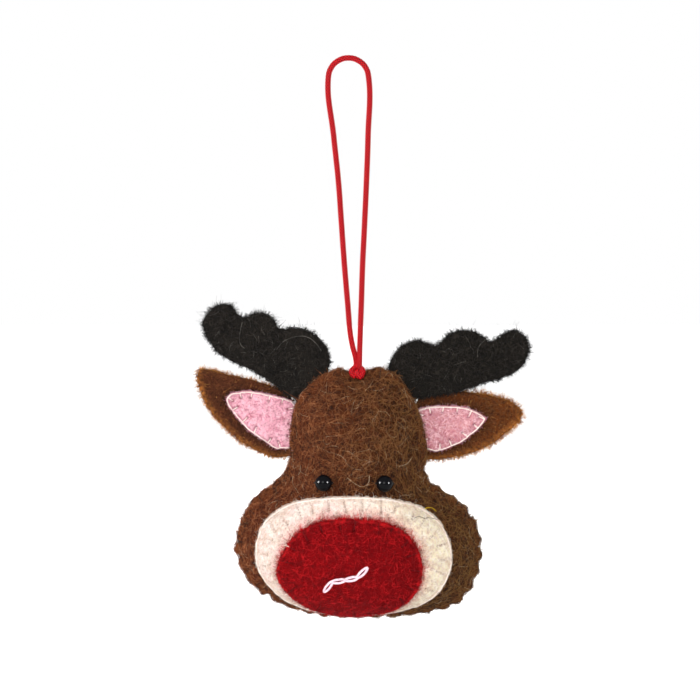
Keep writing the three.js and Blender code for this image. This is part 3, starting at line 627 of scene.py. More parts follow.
filling = remeshed_copy("head_filling", "head_stuffing", FILLING_VOXEL)


def filling_material():
    shader = new_shader("filling")
    strands = shader.strands(shader.place(), 3 * MM, 0.06, seed=1.0)
    colour = shader.mix(strands, srgb(222, 214, 200), srgb(246, 243, 236))
    return shader.finish(Base_Color=colour, Normal=shader.bump(strands, 0.4 * MM), Roughness=1.0)


dress(filling, filling_material(), "filling")
print("filling has", len(filling.data.polygons), "faces")

# %% [markdown]
# ## The outline of the head
#
# The two brown felts are sewn together round their edge with stitches that wrap over it. The edge is
# needed as a line, to lay stitches along it. It could be drawn again, but it is already in the back
# felt's solid: of all its corners in one direction from the middle, the farthest lies on the edge.

# %% The head's outline
HEAD_MIDDLE = Vector((2.65, 5.3, -136.82)) * MM
TURN_STEP = 0.02
OUTLINE_STEP = 0.25 * MM
SEAM_PITCH = 5.2 * MM


def even_loop(points, step):
    """A closed line of straight stretches as points about a step apart, and its length."""
    closed = np.array([*points, points[0]])
    run = np.concatenate([[0], np.cumsum(np.linalg.norm(np.diff(closed, axis=0), axis=1))])
    marks = np.linspace(0, run[-1], round(run[-1] / step), endpoint=False)
    return np.stack([np.interp(marks, run, closed[:, i]) for i in range(3)], axis=1), run[-1]


def outward(outline):
    """The direction square to a closed outline that points away from its middle."""
    along = np.roll(outline, -1, axis=0) - np.roll(outline, 1, axis=0)
    out = np.stack([-along[:, 2], np.zeros(len(along)), along[:, 0]], axis=1)
    out /= np.linalg.norm(out, axis=1)[:, None]
    facing = np.sum(out * (outline - outline.mean(axis=0)), axis=1)
    return out * np.sign(facing.sum())


def farthest_corners(node, middle):
    rim = {}
    bm = merged_node(node)
    for corner in bm.verts:
        away = corner.co - middle
        away.y = 0
        turn = round(math.atan2(away.z, away.x) / TURN_STEP)
        if turn not in rim or away.length > rim[turn].length:
            rim[turn] = away
    bm.free()
    return [middle + rim[turn] for turn in sorted(rim)]


seam, seam_length = even_loop(farthest_corners("back_panel", HEAD_MIDDLE), OUTLINE_STEP)
seam_out = outward(seam)
seam_tree = search_tree(seam)
stitch_count = round(seam_length / SEAM_PITCH)
print("the seam is", round(seam_length / MM), "mm long and has", stitch_count, "stitches")

# %% [markdown]
# ## How the seam pulls on the felt
#
# Each stitch draws the edge in, so that the outline bulges between stitches. Some are pulled tighter
# than others. Where an ear or an antler is sewn in, and at the temples, the edge stays calm. The cord
# pulls on the crown too, which dips under the knot: its line is taken from the picture.

# %% How the seam pulls on the felt
STITCH_PULLS = (0.35, 1.3)
SPROUT_REACH = 3 * MM
CALM_LEFT = [-146 * MM, -132 * MM]
CALM_RIGHT = [-126 * MM, -117 * MM]
CALM_SHARE = 0.25
CROWN_LINE = [
    (-6.3, -93.4), (-5.3, -92.8), (-3.1, -92.1), (-1, -92.9), (0.5, -93.4), (2.65, -93.6), (5, -93.0),
    (7.4, -92.4), (9.2, -91.8), (11, -92.2), (11.9, -92.9),
]
CROWN_REACH = 14 * MM

surfaces = {name: surface_of(piece) for name, piece in felts.items()}
sprouts = [name for name in felts if name.startswith(("ear_", "antler_"))]


def sprout_distance(place):
    """How far a place lies from the ears and antlers."""
    return min(surfaces[name].find_nearest(Vector(place))[3] for name in sprouts)


stitch_pull = np.random.default_rng(11).uniform(*STITCH_PULLS, stitch_count)
seam_freedom = np.array([min(1, sprout_distance(place) / SPROUT_REACH) for place in seam])
seam_freedom *= np.where(
    seam[:, 0] < HEAD_MIDDLE.x, np.interp(seam[:, 2], CALM_LEFT, [1, CALM_SHARE]),
    np.interp(seam[:, 2], CALM_RIGHT, [1, CALM_SHARE]))
crown = np.array(CROWN_LINE) * MM
above = seam[:, 2] > HEAD_MIDDLE.z
upper = seam[above & (abs(seam[:, 0] - crown[:, 0].mean()) < CROWN_REACH)]
upper = upper[np.argsort(upper[:, 0])]
print("share of the seam that bulges freely:", round(float(np.mean(seam_freedom > 0.99)), 2))

# %% [markdown]
# ## Scallops and the closed seam
#
# The pull could be a displacement with a painted map, but every corner has a different reason to
# move, so each is asked how far it lies from the seam. Near it, the inner sides of the two felts are
# drawn together until they touch. The edge then moves in or out with the stitches, or down with the
# crown, and the move fades towards the middle of the face.

# %% Scallops and the closed seam
SCALLOP_DEPTH = 0.9 * MM
SCALLOP_BAND = 5 * MM
SCALLOP_FALL = 1.3
MEAN_BULGE = 0.5
CROWN_FADE = 5 * MM
CROWN_FALL = 0.7
EDGE_BAND = 3.2 * MM
INNER_FACING = 0.1
CLOSING_BAND = 3 * MM
CLOSING_DEPTH = 2.4 * MM
SEAM_PLANE = (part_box("face_panel")[1].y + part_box("back_panel")[0].y) / 2


def crown_drop(x):
    """How far the crown sinks at a place across the head."""
    return np.interp(x, *crown.T) - np.interp(x, upper[:, 0], upper[:, 2])


def stitch_push(nearest):
    """How a point of the seam moves, out between two stitches and in at each."""
    stitch = nearest / len(seam) * stitch_count
    bulge = math.sin(math.pi * stitch) ** 2 - MEAN_BULGE
    depth = SCALLOP_DEPTH * stitch_pull[round(stitch) % stitch_count] * seam_freedom[nearest]
    return seam_out[nearest] * bulge * depth


def scallop(piece):
    """Closes the seam, draws the edge in at each stitch, and paints how near the edge is."""
    mesh = piece.data
    places = corners_of(mesh)
    edge = np.zeros(len(places))
    to_seam = np.sign(SEAM_PLANE - places[:, 1].mean())
    inner = normals_of(mesh)[:, 1] * to_seam > INNER_FACING
    for i, place in enumerate(places.copy()):
        nearest = seam_tree.find((place[0], HEAD_MIDDLE.y, place[2]))[1]
        distance = np.linalg.norm((seam[nearest] - place)[[0, 2]])
        edge[i] = max(0, 1 - distance / EDGE_BAND)
        gap = SEAM_PLANE - place[1]
        if inner[i] and distance < CLOSING_BAND and abs(gap) < CLOSING_DEPTH:
            places[i][1] += gap * min(1, 2 - 2 * distance / CLOSING_BAND)
        x, _, z = seam[nearest]
        if crown[0, 0] < x < crown[-1, 0] and z > HEAD_MIDDLE.z:
            fade = max(0, 1 - distance / CROWN_FADE) ** CROWN_FALL
            places[i][2] += crown_drop(place[0]) * fade
        else:
            fade = max(0, 1 - distance / SCALLOP_BAND) ** SCALLOP_FALL
            places[i] += stitch_push(nearest) * fade
    move_corners(mesh, places)
    # The nearness to the edge is painted, for a painted highlight along the cut edge.
    paint(piece, "edge", edge)


for name in ("face_felt", "back_felt"):
    scallop(felts[name])
    surfaces[name] = surface_of(felts[name])
print("the felts meet at a depth of", *in_mm(SEAM_PLANE), "mm")

# %% [markdown]
# ## Stitches as the front shows them
#
# The patches are sewn on with a blanket stitch: a thread along the edge, and a short bar over the
# edge at every stitch. To lay these on the finished felt, rays are shot at it from the front. Where
# they stop hitting a patch is its outline, and where they hit is the place of the thread.

# %% Rays and outlines
FRONT_Y = cad_low.y - 10 * MM
INTO = Vector((0, 1, 0))
FELT_REACH = 45 * MM
OUTLINE_TURNS = 240
SEARCH_END = OUTLINE_STEP / 5


def front_hit(name, x, z):
    return surfaces[name].ray_cast(Vector((x, FRONT_Y, z)), INTO)[:2]


def drape(x, z):
    """The frontmost felt at a place, as a spot and the normal there."""
    hits = [hit for hit in (front_hit(name, x, z) for name in surfaces) if hit[0]]
    return min(hits, key=lambda hit: hit[0].y) if hits else None


def front_outline(name):
    low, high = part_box(FELTS[name][0])
    middle = (low + high) / 2
    outline = []
    for i in range(OUTLINE_TURNS):
        turn = 2 * math.pi * i / OUTLINE_TURNS
        along = Vector((math.cos(turn), 0, math.sin(turn)))
        near, far = 0.0, FELT_REACH
        while far - near > SEARCH_END:
            half = (near + far) / 2
            spot = middle + along * half
            near, far = (half, far) if front_hit(name, spot.x, spot.z)[0] else (near, half)
        outline.append(middle + along * near)
    return even_loop(outline, OUTLINE_STEP)[0]


def is_buried(spot):
    """Whether the face lies in front of a spot of an ear, or round it."""
    hit = front_hit("face_felt", spot.x, spot.z)[0]
    return hit is not None and hit.y < spot.y


outlines = {
    name: front_outline(name)
    for name in ("muzzle_felt", "nose_felt", "inner_ear_felt_left", "inner_ear_felt_right")
}
print("outline points:", {name: len(outline) for name, outline in outlines.items()})

# %% [markdown]
# ## Pressing the felt in
#
# A stitch pulls the felt down under its thread, and most of all at the hole where it goes in. A bump
# map would leave the felt flat, so here the corners sink along their normals, by an amount that fades
# with the distance from the thread. The same amount is painted on the felt, and the finish darkens
# the felt there as painted shade.

# %% Pressing the felt in
def press(name, points, reach, depth, tint=1.0):
    """Lets the felt sink towards the points and paints shade where it does."""
    mesh = felts[name].data
    tree = search_tree(points)
    places = corners_of(mesh)
    near = np.array([tree.find(p)[2] for p in places]) / reach
    pressed = np.clip(1 - near ** 2, 0, 1) ** 2
    move_corners(mesh, places - normals_of(mesh) * (pressed * depth)[:, None])
    if "pressed" in mesh.attributes:
        before = np.empty(len(places), dtype=np.float32)
        mesh.attributes["pressed"].data.foreach_get("value", before)
        mesh.attributes["pressed"].data.foreach_set("value", np.maximum(before, pressed * tint))
    else:
        paint(felts[name], "pressed", pressed * tint)
    surfaces[name] = surface_of(felts[name])


print("felts to sew:", ", ".join(outlines))

# %% [markdown]
# ## Where the stitches go
#
# A blanket stitch has a bar every few millimetres. A machine would space the bars evenly, but a hand
# does not, so each is shifted, turned and stretched a little by chance. A generator with a fixed
# seed gives the same chance every time. A row that runs behind the head is cut off there.

# %% Where the stitches go
BAR_STEPS = 6
BAR_WANDER = 0.07
BAR_SLANT = 0.12
BAR_LENGTHS = (0.8, 1.15)
SLANT_SPAN = 3
FEWEST_SPOTS = 3


def bar_places(outline, pitch, reach, rng, start):
    """Where the bars of a blanket stitch lie, each as a row of places from the edge inwards."""
    out = outward(outline)
    count = round(len(outline) * OUTLINE_STEP / pitch)
    rows = []
    for i in range(count):
        at = round((i + rng.normal(0, BAR_WANDER)) / count * len(outline)) % len(outline)
        slant = np.roll(outline, -SLANT_SPAN, axis=0)[at] - outline[at]
        inwards = -out[at] + slant / np.linalg.norm(slant) * rng.normal(0, BAR_SLANT)
        depth = reach * rng.uniform(*BAR_LENGTHS)
        insets = [start + depth * k / (BAR_STEPS - 1) for k in range(BAR_STEPS)]
        rows.append([outline[at] + inwards * inset for inset in insets])
    return rows


def on_front(name, place, lift):
    spot, normal = front_hit(name, place[0], place[2])
    return None if spot is None else spot + normal * lift


def laid_row(name, row, lifts):
    spots = [on_front(name, place, lift) for place, lift in zip(row, lifts)]
    kept = [spot for spot in spots if spot is not None and not is_buried(spot)]
    return np.array(kept) if len(kept) >= FEWEST_SPOTS else None


# %% Blanket stitches
RAIL_INSET = 0.35 * MM
RAIL_LIFT = 0.9
BARS_REACH = 0.75 * MM
BARS_DEPTH = 0.4 * MM
HOLE_REACH = 0.7 * MM
HOLE_DEPTH = 0.5 * MM
GROOVE_INSET = 0.85 * MM
GROOVE_REACH = 0.5 * MM
GROOVE_DEPTH = 0.3 * MM
# How much painted shade the groove, the bars and the holes get.
GROOVE_SHADE = 0.4
BARS_SHADE = 0.7
RAIL_STRIDE = 2
# How high each step of a bar lies on the felt, in radii of its thread. The last one dives in.
BAR_PROFILE = np.array([0.2, 0.2, 0, -0.2, -0.7, -3])


def rails(name, outline, lift):
    """The thread along the edge, in as many runs as the head leaves of it."""
    place = outline - outward(outline) * RAIL_INSET
    runs, run = [], []
    for row in place[::RAIL_STRIDE]:
        spot = on_front(name, row, lift)
        if spot is None or is_buried(spot):
            runs.append(run)
            run = []
        else:
            run.append(spot)
    if runs:
        runs[0] = run + runs[0]
    else:
        runs = [[*run, run[0]]]
    return [np.array(run) for run in runs if len(run) >= FEWEST_SPOTS]


def blanket_stitch(name, piece_name, node, pitch, reach, radius, rail_radius, bar_lift, seed):
    """Presses the felt in where its edge is sewn on, and lays the thread there."""
    rng = np.random.default_rng(seed)
    outline = outlines[name]
    rows = bar_places(outline, pitch, reach, rng, RAIL_INSET)
    laid = [laid_row(name, row, [0] * BAR_STEPS) for row in rows]
    laid = [row for row in laid if row is not None]
    groove = [on_front(name, place, 0) for place in outline - outward(outline) * GROOVE_INSET]
    kept_groove = [spot for spot in groove if spot is not None]
    # The felt sinks under the groove, the bars and the holes, and gets painted shade there.
    press(name, kept_groove, GROOVE_REACH, GROOVE_DEPTH, tint=GROOVE_SHADE)
    press(name, np.concatenate(laid), BARS_REACH, BARS_DEPTH, tint=BARS_SHADE)
    press(name, np.array([row[-1] for row in laid]), HOLE_REACH, HOLE_DEPTH)
    lifts = radius * (BAR_PROFILE + bar_lift)
    lines = [laid_row(name, row, lifts) for row in rows]
    lines = [line for line in lines if line is not None]
    radii = [radius] * len(lines)
    if rail_radius:
        runs = rails(name, outline, rail_radius * RAIL_LIFT)
        lines += runs
        radii += [rail_radius] * len(runs)
    piece = tubes(piece_name, lines, radii, "head", 1)
    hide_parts(node)
    print(piece_name, "has", len(laid), "bars")
    return piece


# %% Sewing the patches on
# Each felt has the name, node and slot of its thread, then the pitch and length of the bars and the
# radii of bar and rail in millimetres, and last how many radii the bars lie higher.
STITCHED = {
    "muzzle_felt": (
        "muzzle_stitches", "muzzle_thread", "cream_thread", (5.2, 3.8, 0.14, 0.2), -1.2),
    "nose_felt": ("nose_stitches", "nose_thread", "red_thread", (5.6, 3.2, 0.12, 0), 0.6),
    "inner_ear_felt_left": (
        "inner_ear_stitches_left", "inner_ear_thread_left", "cream_thread",
        (4.6, 1.9, 0.17, 0.15), 0.7),
    "inner_ear_felt_right": (
        "inner_ear_stitches_right", "inner_ear_thread_right", "cream_thread",
        (4.6, 1.9, 0.2, 0.17), 0.7),
}
threads = {}
for seed, (name, row) in enumerate(STITCHED.items(), start=20):
    piece_name, node, slot, sizes, bar_lift = row
    sizes = [size * MM for size in sizes]
    threads[piece_name] = (blanket_stitch(name, piece_name, node, *sizes, bar_lift, seed), slot)

# %% [markdown]
# ## The seam of the head
#
# Along the edge of the head each stitch starts in the face felt, wraps over the seam and ends in the
# back felt. Rays from the front and from behind find both felts. They are pressed in first, and then
# the thread is laid on what they have become. Where an ear or an antler is sewn in, no stitch shows.

# %% Where the seam is sewn
SEAM_INSETS = [3.2, 2.3, 1.3, 0.5]
SPROUT_CLEARANCE = 2.2 * MM
RAY_START = 60 * MM
FEWEST_ON_SIDE = 2
SEAM_SHADE = 0.6


def seam_side(at, panel, side):
    """Spots of one seam stitch on one panel, from its inner end to the edge."""
    spots = []
    for inset in SEAM_INSETS:
        place = Vector(seam[at] - seam_out[at] * inset * MM)
        start = Vector((place.x, side * RAY_START, place.z))
        spot = surfaces[panel].ray_cast(start, Vector((0, -side, 0)))[0]
        if spot:
            spots.append(spot)
    return spots


seam_lines = []
seam_marks = {"face_felt": [], "back_felt": []}
for i in range(stitch_count):
    at = round(i / stitch_count * len(seam)) % len(seam)
    if sprout_distance(seam[at]) < SPROUT_CLEARANCE:
        continue
    front = seam_side(at, "face_felt", -1)
    rear = seam_side(at, "back_felt", 1)
    if len(front) < FEWEST_ON_SIDE or len(rear) < FEWEST_ON_SIDE:
        continue
    seam_marks["face_felt"] += front
    seam_marks["back_felt"] += rear
    seam_lines.append((front, rear))
# Both felts sink under the seam stitches and get painted shade there.
for name, marks in seam_marks.items():
    press(name, marks, BARS_REACH, BARS_DEPTH, tint=SEAM_SHADE)
print("seam stitches that show:", len(seam_lines))

# %% The thread of the seam
SEAM_THREAD_RADIUS = 0.2 * MM
SEAM_DIVE = -2.5
SEAM_RISE = 0.6
SEAM_STEP = 0.4 * MM


def wrapped(front, rear):
    """A seam stitch on the pressed felt, from the front over the edge to the back."""
    line = []
    for spots, panel in ((front, "face_felt"), (rear[::-1], "back_felt")):
        for k, spot in enumerate(spots):
            inner = (k == 0) if panel == "face_felt" else (k == len(spots) - 1)
            place, normal, _, _ = surfaces[panel].find_nearest(spot)
            line.append(place + normal * SEAM_THREAD_RADIUS * (SEAM_DIVE if inner else SEAM_RISE))
    return smooth_line(line, SEAM_STEP)[0]


seam_thread = tubes(
    "seam_stitches", [wrapped(*pair) for pair in seam_lines], [SEAM_THREAD_RADIUS] * len(seam_lines),
    "head", 1)
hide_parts("crown_seam_thread", "jaw_seam_thread")
threads["seam_stitches"] = (seam_thread, "brown_thread")
print("triangles in the seam thread:", 2 * len(seam_thread.data.polygons))

# %% [markdown]
# ## Thread finishes
#
# Sewing thread is two thin plies twisted together. The plies could be modelled like the cord's, but
# the thread is far thinner. So a stretched noise gives the change from ply to ply, and also a little
# relief.

# %% Thread finishes
def thread_material(name, light, dark):
    shader = new_shader(name)
    ply = shader.noise(shader.place(), 0.35 * MM, detail=1.0, twist=1.0)
    colour = shader.mix(ply.smooth(0.3, 0.65), srgb(*dark), srgb(*light))
    return shader.finish(
        Base_Color=colour, Normal=shader.bump(ply, 0.08 * MM), Roughness=0.7, Specular_IOR_Level=0.2)


THREAD_COLOURS = {
    "cream_thread": ((254, 244, 236), (234, 212, 202)),
    "red_thread": ((96, 6, 12), (52, 2, 8)),
    "brown_thread": ((66, 38, 22), (34, 18, 10)),
    "dark_thread": ((30, 27, 25), (12, 11, 10)),
    "pink_yarn": ((252, 224, 234), (222, 170, 188)),
}
thread_finishes = {slot: thread_material(slot, *pair) for slot, pair in THREAD_COLOURS.items()}
for piece, slot in threads.values():
    dress(piece, thread_finishes[slot], slot)
print("thread finishes:", ", ".join(thread_finishes))

# %% [markdown]
# ## The mouth
#
# The mouth is four links of chain stitch in soft pale pink yarn. Each link is a pair of strands that
# bow apart and meet again, and each next link starts inside the last one. The strands are laid on
# the nose by looking for the felt straight behind each point. The ends of the links are given as
# shares of the nose's size, measured from its middle.

# %% The mouth
MOUTH_SHARES = [
    (-0.174, -0.175), (-0.119, -0.076), (-0.03, -0.056), (0.053, -0.034), (0.121, 0.056),
]
YARN_RADIUS = 0.37 * MM
YARN_LIFT = 0.24 * MM
YARN_REACH = 0.8 * MM
YARN_DEPTH = 0.15 * MM
YARN_SHADE = 0.5
LINK_BOW = 0.56 * MM
LINK_ROUNDNESS = 0.6
LINK_STEPS = 11
LINK_OVERLAP_SHARE = 0.1
LINK_END_LIFT = 0.1

nose_low, nose_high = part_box("nose_patch")


def mouth_place(share):
    middle = (nose_low + nose_high) / 2
    size = nose_high - nose_low
    return Vector((middle.x + share[0] * size.x, 0, middle.z + share[1] * size.z))


def link_strand(start, end, side):
    along = end - start
    across = Vector((-along.z, 0, along.x)).normalized() * side * LINK_BOW
    line = []
    for i in range(LINK_STEPS):
        t = i / (LINK_STEPS - 1)
        bow = math.sin(math.pi * t) ** LINK_ROUNDNESS
        spot = start + along * (t * (1 + LINK_OVERLAP_SHARE)) + across * bow
        lift = YARN_LIFT * (LINK_END_LIFT + (1 - LINK_END_LIFT) * bow)
        line.append(on_front("nose_felt", spot, lift))
    return np.array(line)


mouth_knots = [mouth_place(share) for share in MOUTH_SHARES]
strands = [
    link_strand(start, end, side)
    for start, end in zip(mouth_knots, mouth_knots[1:]) for side in (-1, 1)
]
mouth = tubes("mouth_yarn", strands, [YARN_RADIUS] * len(strands), "head", 2)
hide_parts("mouth_stitch")
dress(mouth, thread_finishes["pink_yarn"], "pink_yarn")
# The nose sinks under the yarn and gets painted shade there.
press("nose_felt", np.concatenate(strands), YARN_REACH, YARN_DEPTH, tint=YARN_SHADE)
print("the mouth has", len(strands) // 2, "links")

# %% [markdown]
# ## Bead eyes
#
# The eyes are round black beads with a bore for the thread. A ball could be cut with a cylinder, but
# a half circle spun about the bore's axis gives cleaner faces for the gloss, and the spun wall of the
# bore closes it. The thread comes out of the bore on both sides and hugs the bead on its way back
# into the felt. The line of the thread is in millimetres from the bead's centre.

# %% A bead
BEAD_RINGS = 24
BEAD_TURNS = 48
BEAD_BORE = 0.9 * MM


def bead(name, node, centre, radius):
    first = math.asin(BEAD_BORE / 2 / radius)
    bm = bmesh.new()
    angles = [first + (math.pi - 2 * first) * i / BEAD_RINGS for i in range(BEAD_RINGS + 1)]
    profile = [bm.verts.new((radius * math.cos(a), 0, radius * math.sin(a))) for a in angles]
    edges = [bm.edges.new(pair) for pair in zip(profile, profile[1:])]
    edges.append(bm.edges.new((profile[-1], profile[0])))
    bmesh.ops.spin(
        bm, geom=profile + edges, cent=(0, 0, 0), axis=(1, 0, 0), angle=2 * math.pi,
        steps=BEAD_TURNS, use_merge=True)
    bmesh.ops.remove_doubles(bm, verts=bm.verts, dist=MERGE_DISTANCE)
    bmesh.ops.recalc_face_normals(bm, faces=bm.faces)
    bmesh.ops.translate(bm, verts=bm.verts, vec=centre)
    piece = add_mesh(name, bm, "head")
    piece.data.shade_smooth()
    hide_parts(node)
    return piece


def bead_material():
    shader = new_shader("black_glass")
    cloud = shader.noise(shader.place(), 1.5 * MM, detail=1.0)
    colour = shader.mix(cloud, srgb(1, 1, 2), srgb(5, 5, 6))
    return shader.finish(Base_Color=colour, Roughness=0.05, Specular_IOR_Level=0.06)


black_glass = bead_material()

# %% Both eyes
HOLD_LINE = [
    (-1.2, 3.6), (-1.6, 2.3), (-2.4, 1.3), (-2.72, 0.3), (-2.4, 0), (0, 0), (2.4, 0), (2.72, 0.3),
    (2.4, 1.3), (1.6, 2.3), (1.2, 3.6),
]
HOLD_RADIUS = 0.2 * MM
HOLD_STEP = 0.25 * MM
SOCKET_REACH = 3.4 * MM
SOCKET_DEPTH = 0.6 * MM
SOCKET_SHADE = 0.8

beads = []
for side in ("left", "right"):
    low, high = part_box(f"eye_bead_{side}")
    centre = (low + high) / 2
    radius = (high.z - low.z) / 2
    beads.append(bead(f"bead_{side}", f"eye_bead_{side}", centre, radius))
    dress(beads[-1], black_glass, "bead")
    route = [centre + Vector((x, y, 0)) * MM for x, y in HOLD_LINE]
    hold_line, _ = smooth_line(route, HOLD_STEP)
    hold = tubes(f"bead_thread_{side}", [hold_line], [HOLD_RADIUS], "head", 2)
    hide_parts(f"eye_thread_{side}")
    dress(hold, thread_finishes["dark_thread"], "dark_thread")
    foot = centre + Vector((0, radius, 0))
    # The felt sinks round the bead's foot and gets a ring of painted shade there.
    press("face_felt", [foot], SOCKET_REACH, SOCKET_DEPTH, tint=SOCKET_SHADE)
print("faces of the beads:", {piece.name: len(piece.data.polygons) for piece in beads})

# %% [markdown]
# ## What is painted on the felt
#
# Cut edges are lighter, because the light shines into their loose fibres, as a painted highlight.
# Felt is darker close to the patch that lies on it, as painted shade. The cream felt is redder
# close to the nose. A shader cannot know where another piece lies, so this is painted. The edge of
# an ear is lightest where it looks down and out, as painted light.

# %% What is painted on the felt
SHADE_REACH = 3.5 * MM
BLUSH_REACH = 4.5 * MM
SHEET_EDGE_BAND = 2.1 * MM
RIM_TILT = 0.5
EDGE_FACING = Vector((0.8, 0, -0.6))
EDGE_MEAN = 0.5
EDGE_LEAST = 0.12


def paint_edge(piece, side):
    """A painted highlight near an ear's edge, brightest where the edge looks down and out."""
    mesh = piece.data
    places = corners_of(mesh)
    normals = normals_of(mesh)
    rim = np.flatnonzero(np.abs(normals[:, 1]) < RIM_TILT)
    tree = search_tree(places[rim])
    shares = []
    for place in places:
        _, nearest, distance = tree.find(place)
        facing = normals[rim[nearest]] @ (side * EDGE_FACING.x, 0, EDGE_FACING.z)
        lit = np.clip(EDGE_MEAN + facing, EDGE_LEAST, 1)
        shares.append(max(0, 1 - distance / SHEET_EDGE_BAND) * lit)
    paint(piece, "edge", shares)
    print(piece.name, "has", np.count_nonzero(shares), "corners near its edge")


def paint_nearness(name, attribute, other, reach):
    """How near each corner of one felt lies to another felt."""
    corners = corners_of(felts[name].data)
    near = np.array([surfaces[other].find_nearest(Vector(place))[3] for place in corners])
    paint(felts[name], attribute, np.clip(1 - near / reach, 0, 1))


# Painted highlight on the ears' edges, and painted shade round the inner ears and the muzzle.
for side, sign in (("left", -1), ("right", 1)):
    paint_edge(felts[f"ear_felt_{side}"], sign)
    paint_nearness(f"ear_felt_{side}", "shade", f"inner_ear_felt_{side}", SHADE_REACH)
paint_nearness("face_felt", "shade", "muzzle_felt", SHADE_REACH)
paint_nearness("muzzle_felt", "blush", "nose_felt", BLUSH_REACH)

# %% [markdown]
# ## Felt finishes
#
# Wool felt is a mat of fibres of slightly different shades. Close up it shows thin curved lines over
# a mottled ground, and from a step away the colour drifts softly. So each finish mixes a large
# drift, a small mottle, and strands drawn where a noise crosses its middle value. The same strands
# raise the surface. In the picture the light changes from left to right, so a felt may change its
# colour across the head. Colours are given as a screen shows them.

# %% The felt shader
DRIFT_SIZE = 8 * MM
MOTTLE_SIZE = 0.8 * MM
PATCH_SIZE = 1.6 * MM
FELT_RELIEF = 0.25 * MM


def felt_material(
        name, ground, drift, light, dark, strand_share=0.4, across=None, tints=(), pit_shade=None):
    """Across is a range of x in millimetres and the colour at its end. Tints are for attributes."""
    shader = new_shader(name)
    place = shader.place()
    wide = shader.noise(place, DRIFT_SIZE, detail=2.0, seed=1.0).smooth(0.35, 0.65)
    mottle = shader.noise(place, MOTTLE_SIZE, detail=3.0, seed=2.0)
    strands = shader.strands(place, 1.5 * MM, 0.04, seed=3.0)
    strands = strands.largest(shader.strands(place, 3.2 * MM, 0.022, seed=4.0))
    colour = shader.mix(wide, srgb(*ground), srgb(*drift))
    # Across paints a change of light from left to right: the felt turns towards another colour there.
    if across:
        start, end, far_light_colour = across
        side = shader.axis(place, "X").smooth(start * MM, end * MM)
        colour = shader.mix(side, colour, srgb(*far_light_colour))
    # The edge tint is a painted highlight, and the shade tint is painted shade.
    for attribute, share, tint in tints:
        patchy = shader.noise(place, PATCH_SIZE, detail=2.0, seed=6.0).smooth(0.2, 0.6)
        colour = shader.mix(shader.painted(attribute) * patchy * share, colour, srgb(*tint))
    colour = shader.mix(mottle.smooth(0.45, 0.68) * 0.75, colour, srgb(*dark))
    colour = shader.mix(strands * strand_share, colour, srgb(*light))
    # Where a thread presses the felt in, it gets painted shade.
    pressed = shader.painted("pressed")
    colour = shader.mix(pressed * 0.6, colour, srgb(*dark))
    # The holes get the darkest painted shade.
    colour = shader.mix(pressed.smooth(0.25, 0.9) * 0.9, colour, srgb(*(pit_shade or dark)))
    normal = shader.bump(mottle * 0.6 + strands * 0.5, FELT_RELIEF, 0.9)
    return shader.finish(Base_Color=colour, Normal=normal, Roughness=0.95, Specular_IOR_Level=0.08)


# %% Felt finishes
brown_felt = felt_material(
    "brown_felt", (99, 48, 28), (86, 40, 22), (134, 76, 48), (40, 18, 10),
    across=(-34, 22, (57, 33, 15)),
    tints=[("edge", 0.5, (132, 78, 44)), ("shade", 0.5, (50, 27, 16))])
ear_felt = felt_material(
    "ear_felt", (84, 45, 27), (71, 38, 23), (112, 68, 42), (36, 20, 13),
    across=(-32, 38, (88, 45, 17)),
    tints=[("edge", 0.9, (172, 106, 50)), ("shade", 0.9, (38, 22, 16))])
red_felt = felt_material(
    "red_felt", (123, 5, 10), (108, 3, 8), (156, 12, 18), (76, 1, 5),
    across=(-4, 22, (110, 4, 8)), pit_shade=(40, 3, 5))
pink_felt = felt_material(
    "pink_felt", (240, 182, 196), (228, 166, 182), (255, 222, 228), (168, 96, 112),
    across=(-15, 20, (200, 138, 142)), pit_shade=(96, 40, 52))
black_felt = felt_material(
    "black_felt", (29, 26, 23), (21, 19, 17), (54, 49, 44), (7, 6, 6), strand_share=0.5,
    across=(-10, 30, (22, 20, 17)))
cream_felt = felt_material(
    "cream_felt", (230, 217, 208), (225, 200, 194), (248, 244, 240), (188, 160, 146),
    strand_share=0.55, across=(-6, 26, (237, 228, 198)),
    tints=[("blush", 0.7, (226, 116, 110))], pit_shade=(120, 74, 54))
FINISHES = {
    "face_felt": (brown_felt, "brown_felt"),
    "back_felt": (brown_felt, "brown_felt"),
    "muzzle_felt": (cream_felt, "cream_felt"),
    "nose_felt": (red_felt, "red_felt"),
}
for side in ("left", "right"):
    FINISHES[f"ear_felt_{side}"] = (ear_felt, "brown_felt")
    FINISHES[f"inner_ear_felt_{side}"] = (pink_felt, "pink_felt")
    FINISHES[f"antler_felt_{side}"] = (black_felt, "black_felt")
for name, (finish, slot) in FINISHES.items():
    dress(felts[name], finish, slot)
print("felts dressed:", len(FINISHES))

# %% [markdown]
# ## Wool fibres
#
# What makes felt felt is its hair. Fibres lie on it in loose curves, a short nap stands off it and
# blurs its face, longer spikes break its rims, and a few long strays reach out. A particle system
# could grow them, but the export needs real bodies, so each kind is many thin closed tubes in one
# mesh. A fibre starts at a random place of the surface, leaves out what other felts cover, and walks
# on from there with a slowly turning direction.

# %% Where fibres grow
COVER_DISTANCE = 3.5 * MM
COVER_START_MM = 0.15
KNOT_CLEARANCE = 2.4 * MM
RIM_FACING = 0.55
FACING_LEAST = -0.25
SMALLEST_AREA = 1e-18


def is_covered(name, spot, normal):
    start = spot + normal * COVER_START_MM * MM
    return any(
        surface.ray_cast(start, normal, COVER_DISTANCE)[0] is not None
        for other, surface in surfaces.items() if other != name
    )


